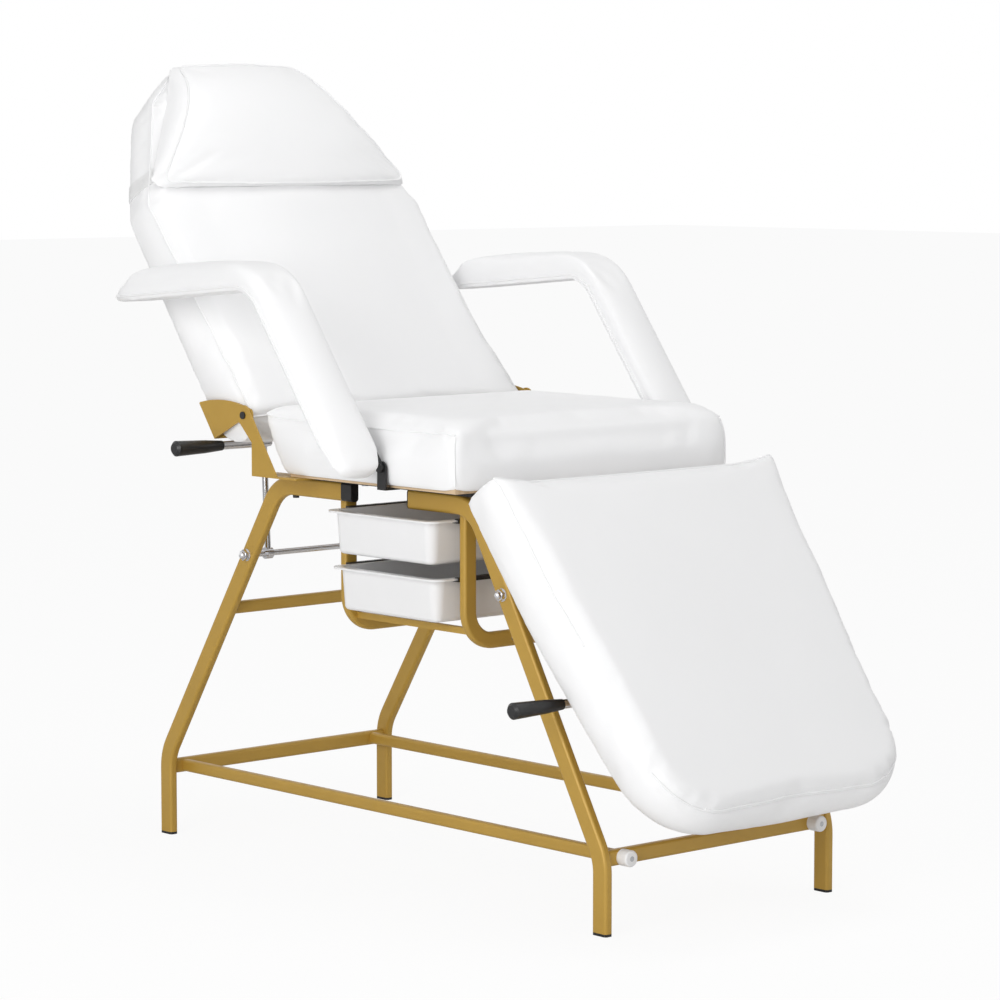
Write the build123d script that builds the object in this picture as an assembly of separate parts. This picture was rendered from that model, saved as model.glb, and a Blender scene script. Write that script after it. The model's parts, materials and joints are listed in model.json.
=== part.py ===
from build123d import *
import os
from math import asin, atan2, cos, degrees, hypot, radians, sin

# Treatment chair with a folding backrest and legrest, on a frame of bent flat tube.
# Millimetres. X runs across the chair, Y from the legrest to the head end, Z up from the floor.
# The origin is on the floor, midway between the feet. The sitter's right side is at -X.

# Frame tube
tube_depth = 30.0
tube_width = 15.0
tube_corner = 5.0
tube_wall = 1.5
crossbar_depth = 24.0
stringer_depth = 20.0

# Legs
frame_width = 486.0
top_height = 624.0
rear_knee_height = 134.5
rear_shoulder_y = 223.5
rear_top_end_y = 61.0
rear_slope_run = 302.5
rear_slope_rise = 474.5
front_knee_height = 112.0
front_shoulder_y = -245.0
front_top_end_y = -100.0
front_slope_run = 281.0
front_slope_rise = 497.0
knee_radius = 80.0
shoulder_radius = 65.0
foot_cap_height = 4.0
plug_depth = 14.0
plug_clearance = 0.1
rear_end_cap_length = 25.0
front_end_cap_length = 2.0
crossbar_height = 113.0
upper_crossbar_height = 396.0
stringer_inset = 30.5

# Axle rods across the legs
axle_diameter = 10.0
bore_clearance = 0.05
rear_axle_drop = 135.0
front_axle_drop = 142.0
washer_thickness = 1.5
washer_diameter = 20.0
nut_across_flats = 16.0
nut_height = 7.0
dome_radius = 6.5

# Rubber stops on the front crossbar
bumper_diameter = 25.0
bumper_length = 20.0
bumper_edge_radius = 3.0
bumper_inset = 33.5
bumper_screw_diameter = 8.0
bumper_screw_recess = 3.0
bumper_screw_shank = 4.0

# Seat
seat_rail_width = 30.0
seat_rail_thickness = 6.0
seat_rail_front_y = -255.0
seat_rail_rear_y = 150.0
board_thickness = 15.0
seat_front_y = -264.0
seat_overhang = 48.0
seat_side_bulge = 3.7
seat_side_draw = 2.0
seat_front_bulge = 2.0
seat_seam_rise = 97.0
seat_crown = 11.0
seat_crown_shoulder = 60.0
seat_rear_bottom_y = 144.0
seat_rear_top_y = 209.0
seat_board_inset = 8.0

# Hinge of the backrest
back_pivot_y = 229.0
back_pivot_rise = 98.0
back_tilt = 54.5
sector_plate_gap = 6.0
hinge_plate_thickness = 3.0
hinge_plate_gap = 1.0
pivot_bolt_diameter = 7.0
pivot_head_diameter = 12.0
pivot_head_thickness = 2.5
pivot_tail_diameter = 14.0
pivot_tail_thickness = 1.6
hinge_flange_width = 52.0

# Backrest cushion: s runs up the backrest from its pivot, t out of its front face
back_overhang = 3.0
back_side_draw = 4.0
back_rear_t = -87.0
back_length = 705.0
back_board_thickness = 12.0
back_board_inset = 10.0
back_board_start = 22.0
back_shoulder_drop = 280.0
back_shoulder_flare = 7.0
back_neck_drop = 73.0
back_neck_inset = 89.0
back_head_inset = 176.0
back_shoulder_radius = 60.0
back_neck_radius = 90.0
back_head_radius = 55.0
back_channel_share = 0.592
back_channel_depth = 3.0

# Headrest pillow
pillow_length = 258.0
pillow_bow = 22.0
pillow_top_drop = 29.0
pillow_side_inset = 61.0
pillow_base_side_inset = 1.0
pillow_top_inset = 13.0
pillow_base_overhang = 32.0
pillow_base_drop = 1.0
pillow_corner_radius = 20.0
pillow_top_radius = 32.0
pillow_gap = 0.8
strap_width = 30.0
strap_thickness = 1.5
strap_rise = 32.0

# Legrest: s runs down the legrest from its pivot, t out of its front face
leg_pivot_y = -257.0
leg_pivot_drop = 2.0
leg_tilt = 53.7
leg_back_t = 20.0
leg_seam_t = 104.0
leg_crown = 8.0
leg_crown_shoulder = 60.0
leg_start_s = 18.0
leg_end_s = 606.0
leg_overhang = 7.0
leg_waist_s = 230.0
leg_waist_draw = 6.0
leg_foot_draw = 44.0
leg_waist_radius = 300.0
leg_corner_radius = 114.0
leg_side_bulge = 5.0
leg_end_bulge = 14.0
leg_rear_draw = 6.0
leg_board_thickness = 12.0
leg_board_inset = 10.0

# Butt hinges of the legrest
hinge_half_spacing = 150.0
hinge_width = 60.0
hinge_knuckle_radius = 6.0
hinge_pin_diameter = 6.0
hinge_pin_head = 1.5
hinge_leaf_thickness = 3.0
hinge_leaf_length = 46.0
hinge_crank_s = 13.0
hinge_knuckle_gap = 0.5

# Struts, slotted slide plates and clamp grips, alike at both ends
strut_inset = 28.0
strut_rod_diameter = 10.0
strut_eye_width = 12.0
strut_top_eye_radius = 7.5
strut_foot_eye_radius = 9.5
slide_plate_offset = 10.0
slide_plate_thickness = 4.0
slide_band = 4.0
slide_flange_width = 22.0
slide_flange_thickness = 3.0
spindle_diameter = 8.0
spindle_shoulder_diameter = 14.0
spindle_head_diameter = 13.0
spindle_head_thickness = 6.0
clamp_clearance = 0.5
back_pin_y = 309.0
back_pin_drop = 54.0
back_strut_ratio = 0.75
back_slot_clearance = 1.25
back_grip_offset = 86.0
back_grip_length = 95.0
back_flange_start = 26.0
back_flange_end = 188.0
leg_pin_y = -467.0
leg_pin_drop = 285.0
leg_strut_ratio = 1.65
leg_slot_clearance = 1.4
leg_grip_offset = 62.0
leg_grip_length = 100.0
leg_flange_start = 216.0
leg_flange_end = 346.0
grip_neck_radius = 8.0
grip_waist_radius = 10.5
grip_fat_radius = 12.5
grip_end_radius = 4.0
grip_stem_depth = 60.0
grip_waist_share = 0.35

# Armrests, which swing on a bolt at the seat's side
arm_side_gap = 3.0
arm_width = 96.0
arm_pivot_y = -106.0
arm_pivot_rise = 37.0
arm_board_thickness = 10.0
arm_low_y = -110.0
arm_low_rise = 15.0
arm_elbow_y = 104.0
arm_elbow_rise = 285.0
arm_tail_y = 458.0
arm_tail_drop = 31.0
arm_slant_thickness = 34.0
arm_level_thickness = 50.0
arm_tail_thickness = 56.0
arm_tip_thickness = 14.0
arm_wedge_length = 95.0
arm_inner_radius = 50.0
arm_outer_radius = 120.0
arm_low_radius = 14.0
arm_outer_edge_radius = 24.0
arm_inner_edge_radius = 10.0
arm_end_radius = 36.0
arm_plan_radius = 22.0
arm_bar_width = 14.0
arm_bar_thickness = 3.0
arm_bar_length = 72.0
arm_bracket_thickness = 3.0
arm_bracket_width = 20.0
arm_bracket_reach = 48.0
arm_bracket_gap = 0.3
arm_bolt_diameter = 8.0
arm_bolt_head_diameter = 14.0
arm_bolt_head_thickness = 2.5
arm_recess_depth = 3.5

# Tray hoops under the seat
hoop_front_y = -208.0
hoop_rear_y = 75.0
hoop_depth = 25.0
hoop_drop = 240.0
hoop_bend_radius = 47.5
hoop_bar_depth = 10.0
hoop_bar_inset = 28.0
hoop_bar_rise = 27.0
hoop_screw_inset = 99.0
hoop_screw_diameter = 9.0
hoop_screw_head = 2.5
hoop_screw_shank = 4.0

# Trays
tray_end_gap = 13.0
tray_width = 256.0
tray_height = 68.0
tray_wall = 2.5
tray_rim = 11.0
tray_rim_thickness = 3.0
tray_corner = 18.0
tray_rim_corner = 24.0
tray_draft = 4.0
tray_floor_radius = 8.0
upper_tray_drop = 41.0
lower_tray_drop = 130.0
upper_tray_out = 50.0
lower_tray_out = 40.0
runner_leg = 14.0
runner_cover = 9.0
runner_thickness = 1.6
tray_lift = 0.3

# Small fasteners
screw_diameter = 5.0
screw_head_diameter = 10.0
screw_head_height = 3.0
screw_depth = 12.0
frame_bolt_y = 182.0
frame_bolt_diameter = 6.0
frame_bolt_head_diameter = 11.0
frame_bolt_head_height = 4.0
cut_overrun = 20.0

# Crown of the seat and the legrest
crown_shoulder_share = 0.9
crown_quarter_share = 0.52
crown_step_share = 0.4

# Hinge plates at the corner of seat and backrest
seat_plate_head_radius = 16.0
seat_plate_foot_front_y = 144.0
seat_plate_foot_rear_y = 208.0
seat_plate_waist_rise = 56.0
seat_flange_front_y = 96.0
sector_head_radius = 17.0
sector_arc_s = 47.0
sector_arc_t = -30.0
sector_high_s = 80.0
sector_low_s = 12.0
sector_apex_t = -16.0

# Backrest front: stations up the backrest, and the height of the middle
# and of the side seams above the pivot's plane at each
back_stations_low = (-45.0, 94.0, 250.0)
back_station_gap = 15.0
back_station_spacing = 112.0
back_middle_lifts = (6.0, 9.0, 10.0, 10.0, 8.0, 0.0, -26.0)
back_edge_lifts = (3.0, -1.0, -19.0, -30.0, -29.0, -26.0, -34.0)
pillow_middle_lifts = (12.0, 12.0, 12.0, 14.0, 29.0, 32.0, 6.0)
pillow_edge_lifts = (12.0, 12.0, 12.0, 12.0, 38.0, 36.0, 8.0)

# Backrest lower end and head end in side view
back_nose_top = (-8.0, 3.0)
back_nose_bulge = (-24.0, -14.0)
back_nose_tip = (-32.0, -36.0)
back_nose_under = (-20.0, -61.0)
back_nose_foot = (0.0, -80.0)
back_nose_heel_s = 12.0
back_head_rear_drop = 17.0
back_head_bulge_t = -62.0

# Places across the chair, which follow from the frame's width
leg_x = frame_width / 2 - tube_width / 2
leg_inner_x = frame_width / 2 - tube_width
stringer_half_spacing = leg_x - stringer_inset
bumper_half_spacing = leg_x - bumper_inset
hoop_bar_half_spacing = leg_inner_x - hoop_bar_inset
hoop_screw_half_spacing = leg_inner_x - hoop_screw_inset
tray_length = frame_width - 2 * tray_end_gap
strut_x = leg_inner_x - strut_inset
slide_plate_x = strut_x + slide_plate_offset
back_grip_x = strut_x + back_grip_offset
leg_grip_x = strut_x + leg_grip_offset
seat_half_width = frame_width / 2 + seat_overhang
sector_plate_inner_x = seat_half_width + sector_plate_gap
leg_half_width = seat_half_width + leg_overhang
leg_waist_half_width = leg_half_width - leg_waist_draw
leg_foot_half_width = leg_half_width - leg_foot_draw
back_half_width = seat_half_width + back_overhang
back_shoulder_half_width = back_half_width + back_shoulder_flare
back_neck_half_width = back_half_width - back_neck_inset
back_head_half_width = back_half_width - back_head_inset
pillow_wide_x = back_shoulder_half_width - pillow_side_inset
pillow_base_wide_x = back_shoulder_half_width - pillow_base_side_inset
pillow_narrow_x = back_head_half_width - pillow_top_inset
pillow_base_x = back_head_half_width + pillow_base_overhang
arm_inner_x = back_shoulder_half_width + arm_side_gap

# Heights, which follow from the top of the frame
seat_bottom = top_height + seat_rail_thickness
tube_middle_z = top_height - tube_depth / 2
rear_axle_height = top_height - rear_axle_drop
front_axle_height = top_height - front_axle_drop
back_pivot_z = top_height + back_pivot_rise
seat_plate_waist_z = top_height + seat_plate_waist_rise
leg_pivot_z = top_height - leg_pivot_drop
back_pin_z = back_pivot_z - back_pin_drop
leg_pin_z = leg_pivot_z - leg_pin_drop
arm_pivot_z = top_height + arm_pivot_rise
arm_low_z = top_height + arm_low_rise
arm_elbow_z = arm_low_z + arm_elbow_rise
arm_tail_z = arm_elbow_z - arm_tail_drop
hoop_bottom_z = top_height - hoop_drop
hoop_bar_z = hoop_bottom_z + hoop_bar_rise
upper_tray_top = top_height - upper_tray_drop
lower_tray_top = top_height - lower_tray_drop

# Places up the backrest, which follow from its length
back_shoulder_s = back_length - back_shoulder_drop
back_neck_s = back_length - back_neck_drop
back_head_rear_s = back_length - back_head_rear_drop
back_station_heights = (
    *back_stations_low,
    back_shoulder_s - back_station_gap,
    back_neck_s - back_station_spacing,
    back_neck_s,
    back_length + back_station_gap,
)
pillow_end_s = back_length - pillow_top_drop
pillow_base_end_s = back_length - pillow_base_drop
pillow_corner_s = pillow_base_end_s - pillow_length
strap_s = pillow_corner_s + strap_rise

# Feet, where the legs' slopes bring them
rear_foot_y = rear_shoulder_y + (tube_middle_z - rear_knee_height) * rear_slope_run / rear_slope_rise
front_foot_y = front_shoulder_y - (tube_middle_z - front_knee_height) * front_slope_run / front_slope_rise
sides = (-1, 1)


def save(name, shape):
    shape.label = name
    export_step(shape, "parts/" + name + ".step")


def both_sides(shape):
    return [shape, mirror(shape, about=Plane.YZ)]


def group(shapes):
    return Compound(children=[Part() + shape for shape in shapes])


def rod(diameter, x_start, x_end, y, z):
    length = abs(x_end - x_start)
    middle = (x_start + x_end) / 2
    return Pos(middle, y, z) * Rot(0, 90, 0) * Cylinder(diameter / 2, length)


def plate_yz(points, x_start, x_end, radius=0):
    face = make_face(Polyline(*points, close=True))
    if radius > 0:
        face = fillet(face.vertices(), radius)
    return Pos(x_start, 0, 0) * extrude(Plane.YZ * face, amount=x_end - x_start)


def span_box(x_start, x_end, y_start, y_end, z_start, z_end):
    size = (x_end - x_start, y_end - y_start, z_end - z_start)
    middle = ((x_start + x_end) / 2, (y_start + y_end) / 2, (z_start + z_end) / 2)
    return Pos(*middle) * Box(*size)


def tube_section(width, depth):
    outer = RectangleRounded(width, depth, tube_corner)
    inner_corner = tube_corner - tube_wall
    return outer - RectangleRounded(width - 2 * tube_wall, depth - 2 * tube_wall, inner_corner)


def swept_tube(path, section):
    start = Plane(path @ 0, x_dir=(1, 0, 0), z_dir=path % 0)
    return sweep(start * section, path=path)


def slant_y(low, high, z):
    share = (z - low[1]) / (high[1] - low[1])
    return low[0] + share * (high[0] - low[0])


# Legs: foot, knee, shoulder and a level top run under the seat, from side view points
rear_leg_line = [
    (rear_foot_y, foot_cap_height),
    (rear_foot_y, rear_knee_height),
    (rear_shoulder_y, tube_middle_z),
    (rear_top_end_y, tube_middle_z),
]
front_leg_line = [
    (front_foot_y, foot_cap_height),
    (front_foot_y, front_knee_height),
    (front_shoulder_y, tube_middle_z),
    (front_top_end_y, tube_middle_z),
]
rear_axle_y = slant_y(rear_leg_line[1], rear_leg_line[2], rear_axle_height)
front_axle_y = slant_y(front_leg_line[1], front_leg_line[2], front_axle_height)


def leg(line, axle_y, axle_z):
    points = [(leg_x, y, z) for y, z in line]
    path = FilletPolyline(*points, radius=[knee_radius, shoulder_radius])
    tube = swept_tube(path, tube_section(tube_width, tube_depth))
    reach = leg_x + cut_overrun
    return tube - rod(axle_diameter + 2 * bore_clearance, 0, reach, axle_y, axle_z)


def end_plug(length):
    head = extrude(RectangleRounded(tube_width, tube_depth, tube_corner), amount=length)
    slack = 2 * tube_wall + 2 * plug_clearance
    corner = tube_corner - tube_wall
    stem = RectangleRounded(tube_width - slack, tube_depth - slack, corner)
    return head + extrude(stem, amount=-plug_depth)


def make_legs():
    bolt_bore = frame_bolt_diameter + 2 * bore_clearance
    bolt_hole = Pos(leg_x, frame_bolt_y, tube_middle_z) * Cylinder(bolt_bore / 2, tube_depth + cut_overrun)
    rear = leg(rear_leg_line, rear_axle_y, rear_axle_height) - bolt_hole
    front = leg(front_leg_line, front_axle_y, front_axle_height)
    for name, shape in (("rear_leg", rear), ("front_leg", front)):
        right, left = mirror(shape, about=Plane.YZ), shape
        save(name + "_right", right)
        save(name + "_left", left)
    caps = []
    for y in (front_foot_y, rear_foot_y):
        cap = Pos(leg_x, y, foot_cap_height) * Rot(180, 0, 0) * end_plug(foot_cap_height)
        caps += both_sides(cap)
    save("foot_caps", group(caps))
    rear_cap = Pos(leg_x, rear_top_end_y, tube_middle_z) * Rot(90, 0, 0) * end_plug(rear_end_cap_length)
    front_cap = Pos(leg_x, front_top_end_y, tube_middle_z) * Rot(-90, 0, 0) * end_plug(front_end_cap_length)
    save("leg_end_caps", group(both_sides(rear_cap) + both_sides(front_cap)))
    bolt_top = top_height + frame_bolt_head_height
    nut_low = top_height - tube_depth - frame_bolt_head_height
    bolts = []
    for side in sides:
        place = Pos(side * leg_x, frame_bolt_y, 0)
        head = RegularPolygon(frame_bolt_head_diameter / 2, 6)
        bolt = Pos(0, 0, top_height) * extrude(head, amount=frame_bolt_head_height)
        bolt += Pos(0, 0, nut_low) * extrude(head, amount=frame_bolt_head_height)
        shank = Cylinder(frame_bolt_diameter / 2, bolt_top - nut_low)
        bolts.append(place * (bolt + Pos(0, 0, (bolt_top + nut_low) / 2) * shank))
    save("frame_bolts", group(bolts))


def cross_tube(depth, y, z):
    section = tube_section(tube_width, depth)
    length = 2 * leg_inner_x
    return Pos(-leg_inner_x, y, z) * extrude(Plane.YZ * section, amount=length)


def make_crossbars():
    save("rear_crossbar_lower", cross_tube(crossbar_depth, rear_foot_y, crossbar_height))
    save("front_crossbar_lower", cross_tube(crossbar_depth, front_foot_y, crossbar_height))
    upper_y = slant_y(rear_leg_line[1], rear_leg_line[2], upper_crossbar_height)
    save("rear_crossbar_upper", cross_tube(stringer_depth, upper_y, upper_crossbar_height))
    length = rear_foot_y - front_foot_y - tube_width
    section = tube_section(tube_width, stringer_depth)
    bar = Pos(stringer_half_spacing, (rear_foot_y + front_foot_y) / 2, crossbar_height)
    bar *= extrude(Plane.XZ * section, amount=length / 2, both=True)
    save("side_stringers", group(both_sides(bar)))


def dome_nut(x_start):
    nut = extrude(RegularPolygon(nut_across_flats / 2, 6, major_radius=False), amount=nut_height)
    dome = Pos(0, 0, nut_height) * Sphere(dome_radius) - Pos(0, 0, -dome_radius) * Box(
        4 * dome_radius, 4 * dome_radius, 2 * dome_radius
    )
    bore = Cylinder(axle_diameter / 2 + bore_clearance, 2 * nut_height)
    return Pos(x_start, 0, 0) * Rot(0, 90, 0) * ((nut + dome) - bore)


def make_axles():
    nuts, washers = [], []
    nut_x = frame_width / 2 + washer_thickness
    places = {"rear_axle": (rear_axle_y, rear_axle_height), "front_axle": (front_axle_y, front_axle_height)}
    for name, (y, z) in places.items():
        end = nut_x + nut_height
        save(name, rod(axle_diameter, -end, end, y, z))
        washer = rod(washer_diameter, frame_width / 2, nut_x, y, z)
        washer -= rod(axle_diameter + 2 * bore_clearance, 0, nut_x + cut_overrun, y, z)
        washers += both_sides(washer)
        nuts += both_sides(Pos(0, y, z) * dome_nut(nut_x))
    save("axle_nuts", group(nuts))
    save("axle_washers", group(washers))


def make_bumpers():
    face_y = front_foot_y - tube_width / 2
    stops, screws = [], []
    for side in sides:
        place = Pos(side * bumper_half_spacing, face_y, crossbar_height) * Rot(90, 0, 0)
        stop = Pos(0, 0, bumper_length / 2) * Cylinder(bumper_diameter / 2, bumper_length)
        stop = fillet(stop.edges().filter_by(GeomType.CIRCLE).sort_by(Axis.Z)[-1], bumper_edge_radius)
        head_bottom = bumper_length - bumper_screw_recess
        pocket = Cylinder(bumper_screw_diameter / 2 + bore_clearance, 2 * bumper_screw_recess)
        stop -= Pos(0, 0, bumper_length) * pocket
        stop -= Cylinder(bumper_screw_shank / 2 + bore_clearance, 2 * bumper_length)
        stops.append(place * stop)
        head = Pos(0, 0, head_bottom + bumper_screw_recess / 2)
        head *= Cylinder(bumper_screw_diameter / 2, bumper_screw_recess)
        shank = Pos(0, 0, head_bottom / 2) * Cylinder(bumper_screw_shank / 2, head_bottom)
        screws.append(place * (head + shank))
    save("crossbar_bumpers", group(stops))
    save("bumper_screws", group(screws))


def crown_top(start, end, seam, crown, shoulder):
    # Puffed top of a cushion from start down to end: steep beside the seams, nearly flat between
    near, far = start - shoulder, end + shoulder
    high = seam + crown * crown_shoulder_share
    quarter = seam + crown * crown_quarter_share
    step = shoulder * crown_step_share
    return [
        ThreePointArc((start, seam), (start - step, quarter), (near, high)),
        ThreePointArc((near, high), ((near + far) / 2, seam + crown), (far, high)),
        ThreePointArc((far, high), (end + step, quarter), (end, seam)),
    ]


def make_seat():
    low, seam = seat_bottom, seat_bottom + seat_seam_rise
    middle = (low + seam) / 2
    draw = seat_half_width - seat_side_draw
    bulge = seat_half_width + seat_side_bulge
    across = make_face(
        [
            Line((-draw, low), (draw, low)),
            ThreePointArc((draw, low), (bulge, middle), (seat_half_width, seam)),
            *crown_top(seat_half_width, -seat_half_width, seam, seat_crown, seat_crown_shoulder),
            ThreePointArc((-seat_half_width, seam), (-bulge, middle), (-draw, low)),
        ]
    )
    front = seat_front_y
    along = make_face(
        [
            Line((seat_rear_bottom_y, low), (front, low)),
            ThreePointArc((front, low), (front - seat_front_bulge, middle), (front, seam)),
            *crown_top(seat_rear_top_y, front, seam, seat_crown, seat_crown_shoulder),
            Line((seat_rear_top_y, seam), (seat_rear_bottom_y, low)),
        ]
    )
    reach = rear_foot_y
    body = extrude(Plane.XZ * across, amount=reach, both=True)
    body &= extrude(Plane.YZ * along, amount=reach, both=True)
    board_x = seat_half_width - seat_board_inset
    board_front, board_rear = front + seat_board_inset, seat_rear_bottom_y - seat_board_inset
    board = span_box(-board_x, board_x, board_front, board_rear, low, low + board_thickness)
    body -= board
    rails, screws = [], []
    screw_ys = (front_top_end_y + screw_depth * 4, rear_top_end_y - rear_end_cap_length * 2)
    for side in sides:
        rail = span_box(
            side * leg_x - seat_rail_width / 2,
            side * leg_x + seat_rail_width / 2,
            seat_rail_front_y,
            seat_rail_rear_y,
            top_height,
            low,
        )
        for y in screw_ys:
            place = Pos(side * leg_x, y, top_height)
            hole = Cylinder(screw_diameter / 2 + bore_clearance, 2 * (seat_rail_thickness + screw_depth))
            rail -= place * hole
            board -= place * hole
            shank_length = seat_rail_thickness + screw_depth
            shank = Pos(0, 0, shank_length / 2) * Cylinder(screw_diameter / 2, shank_length)
            head = Pos(0, 0, -screw_head_height / 2) * Cylinder(screw_head_diameter / 2, screw_head_height)
            screws.append(place * (shank + head))
        rails.append(rail)
    save("seat_cushion", body)
    save("seat_board", board)
    save("seat_rails", group(rails))
    save("seat_board_screws", group(screws))


back_place = Pos(0, back_pivot_y, back_pivot_z) * Rot(back_tilt, 0, 0)
leg_place = Pos(0, leg_pivot_y, leg_pivot_z) * Rot(leg_tilt, 0, 0)


def make_hinge_plates():
    inner, outer = sector_plate_inner_x, sector_plate_inner_x + hinge_plate_thickness
    rear_t = back_rear_t
    edges = [
        ThreePointArc((0, sector_head_radius), (sector_arc_s, sector_arc_t), (sector_high_s, rear_t)),
        Line((sector_high_s, rear_t), (sector_low_s, rear_t)),
        Line((sector_low_s, rear_t), (0, sector_apex_t)),
        ThreePointArc((0, sector_apex_t), (-sector_head_radius, 0), (0, sector_head_radius)),
    ]
    sector = extrude(Plane.YZ * make_face(edges), amount=hinge_plate_thickness)
    sector = Pos(inner, 0, 0) * sector
    flange = span_box(
        outer - hinge_flange_width, outer, sector_low_s, sector_high_s, rear_t - hinge_plate_thickness, rear_t
    )
    sector += flange
    bolt_bore = pivot_bolt_diameter + 2 * bore_clearance
    sector -= rod(bolt_bore, inner - cut_overrun, outer + cut_overrun, 0, 0)
    sector_left = back_place * sector
    save("backrest_hinge_plate_left", sector_left)
    save("backrest_hinge_plate_right", mirror(sector_left, about=Plane.YZ))

    seat_inner = outer + hinge_plate_gap
    seat_outer = seat_inner + hinge_plate_thickness
    foot_z = seat_bottom - hinge_plate_thickness
    head = seat_plate_head_radius
    slant = atan2(seat_seam_rise, seat_rear_top_y - seat_rear_bottom_y)
    tangent = (back_pivot_y - head * sin(slant), back_pivot_z + head * cos(slant))
    outline = [
        (seat_plate_foot_front_y, foot_z),
        tangent,
        (back_pivot_y + head * sin(slant), back_pivot_z - head * cos(slant)),
        (seat_plate_foot_rear_y, seat_plate_waist_z),
        (seat_plate_foot_rear_y, foot_z),
    ]
    arm_plate = plate_yz(outline, seat_inner, seat_outer)
    arm_plate += rod(2 * head, seat_inner, seat_outer, back_pivot_y, back_pivot_z)
    arm_plate += span_box(
        seat_outer - hinge_flange_width,
        seat_outer,
        seat_flange_front_y,
        seat_plate_foot_rear_y,
        foot_z,
        seat_bottom,
    )
    bore = rod(bolt_bore, inner - cut_overrun, seat_outer + cut_overrun, back_pivot_y, back_pivot_z)
    arm_plate -= bore
    save("seat_hinge_plate_left", arm_plate)
    save("seat_hinge_plate_right", mirror(arm_plate, about=Plane.YZ))

    head_end = seat_outer + pivot_head_thickness
    bolt = rod(pivot_bolt_diameter, inner - pivot_tail_thickness, head_end, back_pivot_y, back_pivot_z)
    bolt += rod(pivot_head_diameter, seat_outer, head_end, back_pivot_y, back_pivot_z)
    bolt += rod(pivot_tail_diameter, inner - pivot_tail_thickness, inner, back_pivot_y, back_pivot_z)
    save("backrest_pivot_bolts", group(both_sides(bolt)))


def half_width_at(s):
    # Half width of the backrest's outline at s, before its corners are rounded
    if s <= back_shoulder_s:
        return back_shoulder_half_width
    low, high = (back_shoulder_s, back_shoulder_half_width), (back_neck_s, back_neck_half_width)
    if s > back_neck_s:
        low, high = high, (back_length, back_head_half_width)
    return low[1] + (high[1] - low[1]) * (s - low[0]) / (high[0] - low[0])


def front_surface(middle_lifts, edge_lifts, with_channels, base_t):
    # All that lies behind a surface which stands off the backrest's front by the given lifts
    stations = zip(back_station_heights, back_middle_lifts, back_edge_lifts, middle_lifts, edge_lifts)
    sections = []
    for s, middle, edge, lift_middle, lift_edge in stations:
        half = half_width_at(s) + cut_overrun
        top, low = middle + lift_middle, edge + lift_edge
        span = half ** 2 / (2 * (top - low)) + (top - low) / 2
        crease_x = half * back_channel_share

        def height(x):
            return top - span + (span ** 2 - x ** 2) ** 0.5

        dip = back_channel_depth if with_channels else 0
        crease = height(crease_x) - dip
        side_x = (half + crease_x) / 2
        outline = [
            Polyline((-half, low), (-half, base_t), (half, base_t), (half, low)),
            ThreePointArc((half, low), (side_x, height(side_x)), (crease_x, crease)),
            ThreePointArc((crease_x, crease), (0, top), (-crease_x, crease)),
            ThreePointArc((-crease_x, crease), (-side_x, height(side_x)), (-half, low)),
        ]
        sections.append(Plane((0, s, 0), x_dir=(1, 0, 0), z_dir=(0, -1, 0)) * make_face(outline))
    return loft(sections)


def back_outline(inset, start_s):
    half = back_half_width - inset
    points = [
        (half, start_s),
        (back_shoulder_half_width - inset, back_shoulder_s),
        (back_neck_half_width - inset, back_neck_s),
        (back_head_half_width - inset, back_length - inset),
    ]
    outline = make_face(Polyline(*points, *[(-x, s) for x, s in reversed(points)], close=True))
    radii = (back_shoulder_radius, back_neck_radius, back_head_radius)
    for (_, s), radius in zip(points[1:], radii):
        corners = [corner for corner in outline.vertices() if abs(corner.Y - s) < tube_wall]
        outline = fillet(corners, radius)
    return outline


def pillow_plan(wide, narrow, end_s):
    points = [(wide, pillow_corner_s), (narrow, end_s), (-narrow, end_s), (-wide, pillow_corner_s)]
    lower_edge = ThreePointArc(points[-1], (0, pillow_corner_s - pillow_bow), points[0])
    plan = make_face([Polyline(*points), lower_edge])
    for s, radius in ((pillow_corner_s, pillow_corner_radius), (end_s, pillow_top_radius)):
        corners = [corner for corner in plan.vertices() if abs(corner.Y - s) < tube_wall]
        plan = fillet(corners, radius)
    return plan


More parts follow.
